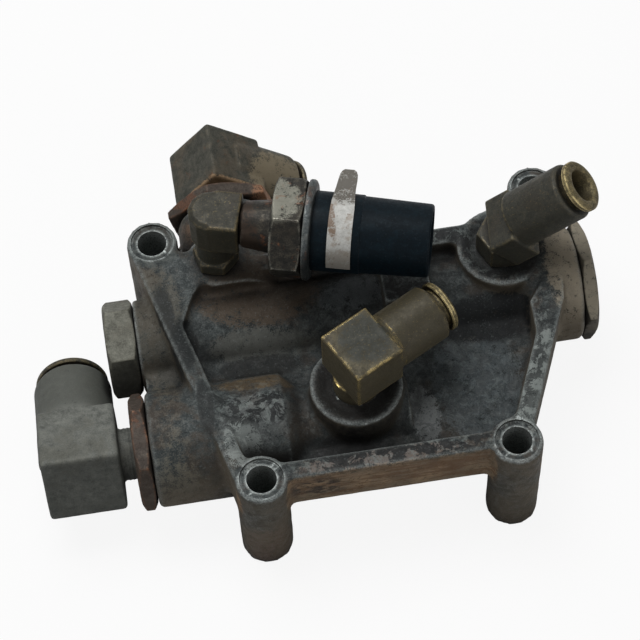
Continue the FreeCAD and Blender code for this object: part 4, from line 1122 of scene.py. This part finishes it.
# The stop lamp switch on its small elbow
switch = {
    "turn": -16, "height": 64.5, "blockTop": 71.3, "blockLow": 57.7, "blockHalf": 7.1, "blockReach": 9.0,
    "neck": 5.6, "port": 2.3, "nipple": 7.1, "nippleEnd": 8.4,
    "hexFlats": 28.2, "hexStart": 18.8, "hexEnd": 28.8, "collar": 15.2, "collarEnd": 31.0,
    "flangeStart": 25.8, "flangeEnd": 29.6, "barrelStart": 12.0, "barrelEnd": 11.0, "barrelStep": 45.5,
    "barrelLength": 66.2, "step": 0.35, "room": 8.0, "roomEnd": 44.8, "socket": 9.0, "socketEnd": 48.3,
    "bladeSpread": 5.0, "bladeHalf": 0.4, "bladeWide": 3.15,
}
label = {"start": 36.0, "wide": 7.2, "thick": 0.3, "sweep": 91, "steps": 30,
         "tail": ((2.5, 0.0, 0.0, 0.96), (2.5, 0.05, 0.1, 0.93), (2.5, 0.2, 0.2, 0.92), (2.4, 0.3, 0.25, 0.96),
                  (1.8, 0.3, 0.15, 0.93), (1.0, 0.2, 0.05, 0.82), (0.6, 0.1, 0.0, 0.66))}  # back, lift, lean and narrowing of each stretch
switchAxis = Vector((math.cos(math.radians(switch["turn"])), math.sin(math.radians(switch["turn"])), 0))
switchOrigin = switchPort + up * switch["height"]


def barrelRadius(distance):
    c = switch
    share = (distance - c["flangeEnd"]) / (c["barrelLength"] - c["flangeEnd"])
    return c["barrelStart"] + (c["barrelEnd"] - c["barrelStart"]) * share


def buildSwitchElbow():
    c = switch
    top, low, half = c["blockTop"], c["blockLow"], c["blockHalf"]
    back = turnedPiece("switchElbow", [(low, 0), (low, half), (top - 1.2, half), (top, half - 1.6), (top, 0)], 12)
    block = blockPiece("block", (0, -half, low), (c["blockReach"], half, top))
    bevelEdges(block, 0.8, 2, allEdges)
    neck = turnedPiece("neck", [(34.8, 0), (34.8, 4.9), (43, 4.9), (43, c["neck"]), (low + 1, c["neck"]), (low + 1, 0)])
    nut = hexPiece("nut", 12.5, 43.0, 48.0, 0, 0.8)
    body = joinPieces("switchElbow", [back, block, neck, nut])
    meltTogether(body, 0.3, 3, 0.16, 3.0)
    socket = turnedPiece("socket", [(-1, 0), (-1, c["port"]), (3.5, c["port"]), (3.5, 4.6), (16, 4.6), (16, 0)], 48)
    combine(body, aimPiece(socket, Vector((0, 0, c["height"])), toRight), "DIFFERENCE")
    airway = turnedPiece("airway", [(20, 0), (20, c["port"]), (c["height"], c["port"]), (c["height"], 0)], 48)
    combine(body, airway, "DIFFERENCE")
    framePiece(body, switchPort, switchAxis, up.cross(switchAxis), up)
    finishPiece(body, "casting", ["switch_elbow"], finishes["smallElbow"], 45)


def buildSwitchBase():
    c = switch
    start, end = c["hexStart"], c["hexEnd"]
    hexagon = hexPiece("switchHex", c["hexFlats"], start, end, 8, 1.2)
    nipple = turnedPiece("nipple", [(4.3, 0), (4.3, 4.6), (9, 4.6), (9, 6.2), (9.7, c["nipple"]),
                                    (start + 0.7, c["nippleEnd"]), (start + 0.7, 0)])
    base = joinPieces("switchHex", [hexagon, nipple])
    meltTogether(base, 0.34, 3, 0.2, 3.0)
    seat = c["flangeStart"]
    hollow = turnedPiece("hollow", [(-5, 0), (-5, c["port"]), (seat - 3, c["port"]), (seat - 3, 9), (seat - 1, 9),
                                    (seat - 1, 12.6), (end + 3, 12.6), (end + 3, 0)])
    combine(base, hollow, "DIFFERENCE")
    aimPiece(base, switchOrigin, switchAxis)
    finishPiece(base, "casting", ["switch_base"], finishes["hex"], 45)


def buildCollar():
    # the rolled lip that holds the barrel down
    c = switch
    start, end, radius = c["hexEnd"], c["collarEnd"], c["collar"]
    collar = turnedPiece("switchCollar", [(start, 12.6), (start, radius - 0.2), (start + 0.3, radius),
                                          (end - 1.0, radius), (end - 0.4, radius - 0.3), (end, radius - 1.0),
                                          (end, 12.0), (end - 1.4, 12.0), (end - 1.4, 12.6), (start, 12.6)], 96)
    aimPiece(collar, switchOrigin, switchAxis)
    finishPiece(collar, "casting", ["switch_collar"], finishes["collar"], 35)


def buildBarrel():
    c = switch
    step, end = c["barrelStep"], c["barrelLength"]
    atStep, atEnd = barrelRadius(step), c["barrelEnd"]
    barrel = turnedPiece("switchBarrel", [
        (c["flangeStart"], c["room"]), (c["flangeStart"], 12.5), (c["flangeEnd"], 12.5),
        (c["flangeEnd"], c["barrelStart"]), (c["flangeEnd"] + 1.6, c["barrelStart"]), (step - 0.3, atStep + c["step"]),
        (step, atStep + c["step"] - 0.15), (step + 0.1, atStep), (end - 1.2, atEnd + 0.03), (end - 0.5, atEnd - 0.05),
        (end, atEnd - 0.5), (end, c["socket"] + 0.5), (end - 0.4, c["socket"]), (c["socketEnd"], c["socket"]),
        (c["socketEnd"], tiny)], 96)
    room = turnedPiece("room", [(c["roomEnd"], tiny), (c["roomEnd"], c["room"]), (c["flangeStart"], c["room"])], 96)
    barrel = joinPieces("switchBarrel", [barrel, room])
    cleanMesh(barrel)
    for side in (-1, 1):
        middle = side * c["bladeSpread"]
        slot = blockPiece("slot", (middle - c["bladeHalf"], -c["bladeWide"], 40),
                          (middle + c["bladeHalf"], c["bladeWide"], 52))
        combine(barrel, slot, "DIFFERENCE")
    aimPiece(barrel, switchOrigin, switchAxis)
    finishPiece(barrel, "casting", ["switch_housing"], finishes["barrel"], 35)


def buildLabel():
    # a blank strip spun round the front of the barrel, its tail drawn out behind and narrowing
    c = label
    inner = barrelRadius(c["start"]) + switch["step"]
    middle = c["start"] + c["wide"] / 2
    clearSelection()
    bpy.ops.mesh.primitive_cube_add(size=1, location=(inner + c["thick"] / 2, -0.25, middle),
                                    scale=(c["thick"], 0.5, c["wide"]))
    strip = newPrimitive("labelStrip")
    startEdit(strip)
    bpy.ops.mesh.select_all(action="DESELECT")
    bpy.ops.object.mode_set(mode="OBJECT")
    for face in strip.data.polygons:
        face.select = face.normal.y > 0.9
    bpy.ops.object.mode_set(mode="EDIT")
    bpy.context.tool_settings.mesh_select_mode = (False, False, True)
    bpy.ops.mesh.spin(steps=c["steps"], angle=math.radians(-c["sweep"]), center=(0, 0, 0), axis=(0, 0, 1))
    bpy.ops.object.mode_set(mode="OBJECT")
    for face in strip.data.polygons:
        face.select = face.normal.y < -0.9 and abs(face.center.y + 0.5) < 0.01
    bpy.ops.object.mode_set(mode="EDIT")
    for back, lift, lean, narrow in c["tail"]:
        bpy.ops.mesh.extrude_region_move(TRANSFORM_OT_translate={"value": (lift, -back, lean)})
        bpy.ops.transform.resize(value=(1, 1, narrow))
    bpy.context.tool_settings.mesh_select_mode = (True, False, False)
    endEdit()
    cleanMesh(strip)
    across = Vector((switchAxis.y, -switchAxis.x, 0))
    framePiece(strip, switchOrigin, up, across, switchAxis)
    finishPiece(strip, "casting", ["label_strip"], finishes["paper"], 40)


buildSwitchElbow()
buildSwitchBase()
buildCollar()
buildBarrel()
buildLabel()
print("switch made")

# Coil springs
springs = {
    "pistonSpring": {"node": "piston_spring", "radius": 7.6, "wire": 0.9, "turns": 2.5,
                     "joint": "piston_slide", "travel": 3.0},
    "poppetSpring": {"node": "poppet_spring", "radius": 4.3, "wire": 1.1, "turns": 5,
                     "joint": "poppet_slide", "travel": 3.0},
    "contactSpring": {"node": "contact_spring", "radius": 2.2, "wire": 0.6, "turns": 6,
                      "joint": "switch_slide", "travel": 0.9, "start": 28.8, "end": 44.8},
}


def buildSpring(name, start, end, origin, direction):
    # a ring of wire screwed up a half turn at a time
    c = springs[name]
    half = c["wire"] / 2
    clearSelection()
    bpy.ops.mesh.primitive_circle_add(vertices=14, radius=half, location=(c["radius"], 0, start + half),
                                      rotation=(math.pi / 2, 0, 0))
    coil = newPrimitive(name)
    halves = int(c["turns"] * 2)
    rise = (end - start - c["wire"]) / halves
    useModifier(coil, "SCREW", axis="Z", angle=math.pi, screw_offset=rise, iterations=halves, steps=18, render_steps=18)
    startEdit(coil)
    bpy.ops.mesh.fill_holes(sides=0)
    endEdit()
    cleanMesh(coil)
    aimPiece(coil, origin, direction)
    finishPiece(coil, "casting", [c["node"]], finishes["spring"], 50)
    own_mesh(coil)


for name in ("pistonSpring", "poppetSpring"):
    low, high = (corner[0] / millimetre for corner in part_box(springs[name]["node"]))
    buildSpring(name, low, high, boreA, toRight)
contact = springs["contactSpring"]
buildSpring("contactSpring", contact["start"], contact["end"], switchOrigin, switchAxis)
print("springs wound:", len(springs))

# Inner pieces keep the frame's meshes and get a finish
keptFinishes = {
    "aluminium": ("control_piston", "poppet_guide"),
    "rubber": ("piston_oring", "stem_oring", "poppet_disc", "switch_diaphragm", "supply_tube_seal",
               "service_tube_seal", "front_tube_seal", "angled_tube_seal"),
    "spring": ("guide_circlip",),
    "bright": ("stem_bush", "valve_seat", "poppet", "contact_disc", "switch_terminals", "supply_tube_support",
               "service_tube_support", "front_tube_support", "angled_tube_support"),
    "nylon": ("switch_plunger",),
}
for finishName, nodeNames in keptFinishes.items():
    for nodeName in nodeNames:
        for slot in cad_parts[nodeName].material_slots:
            slot.material = finishes[finishName]
print("inner pieces finished")
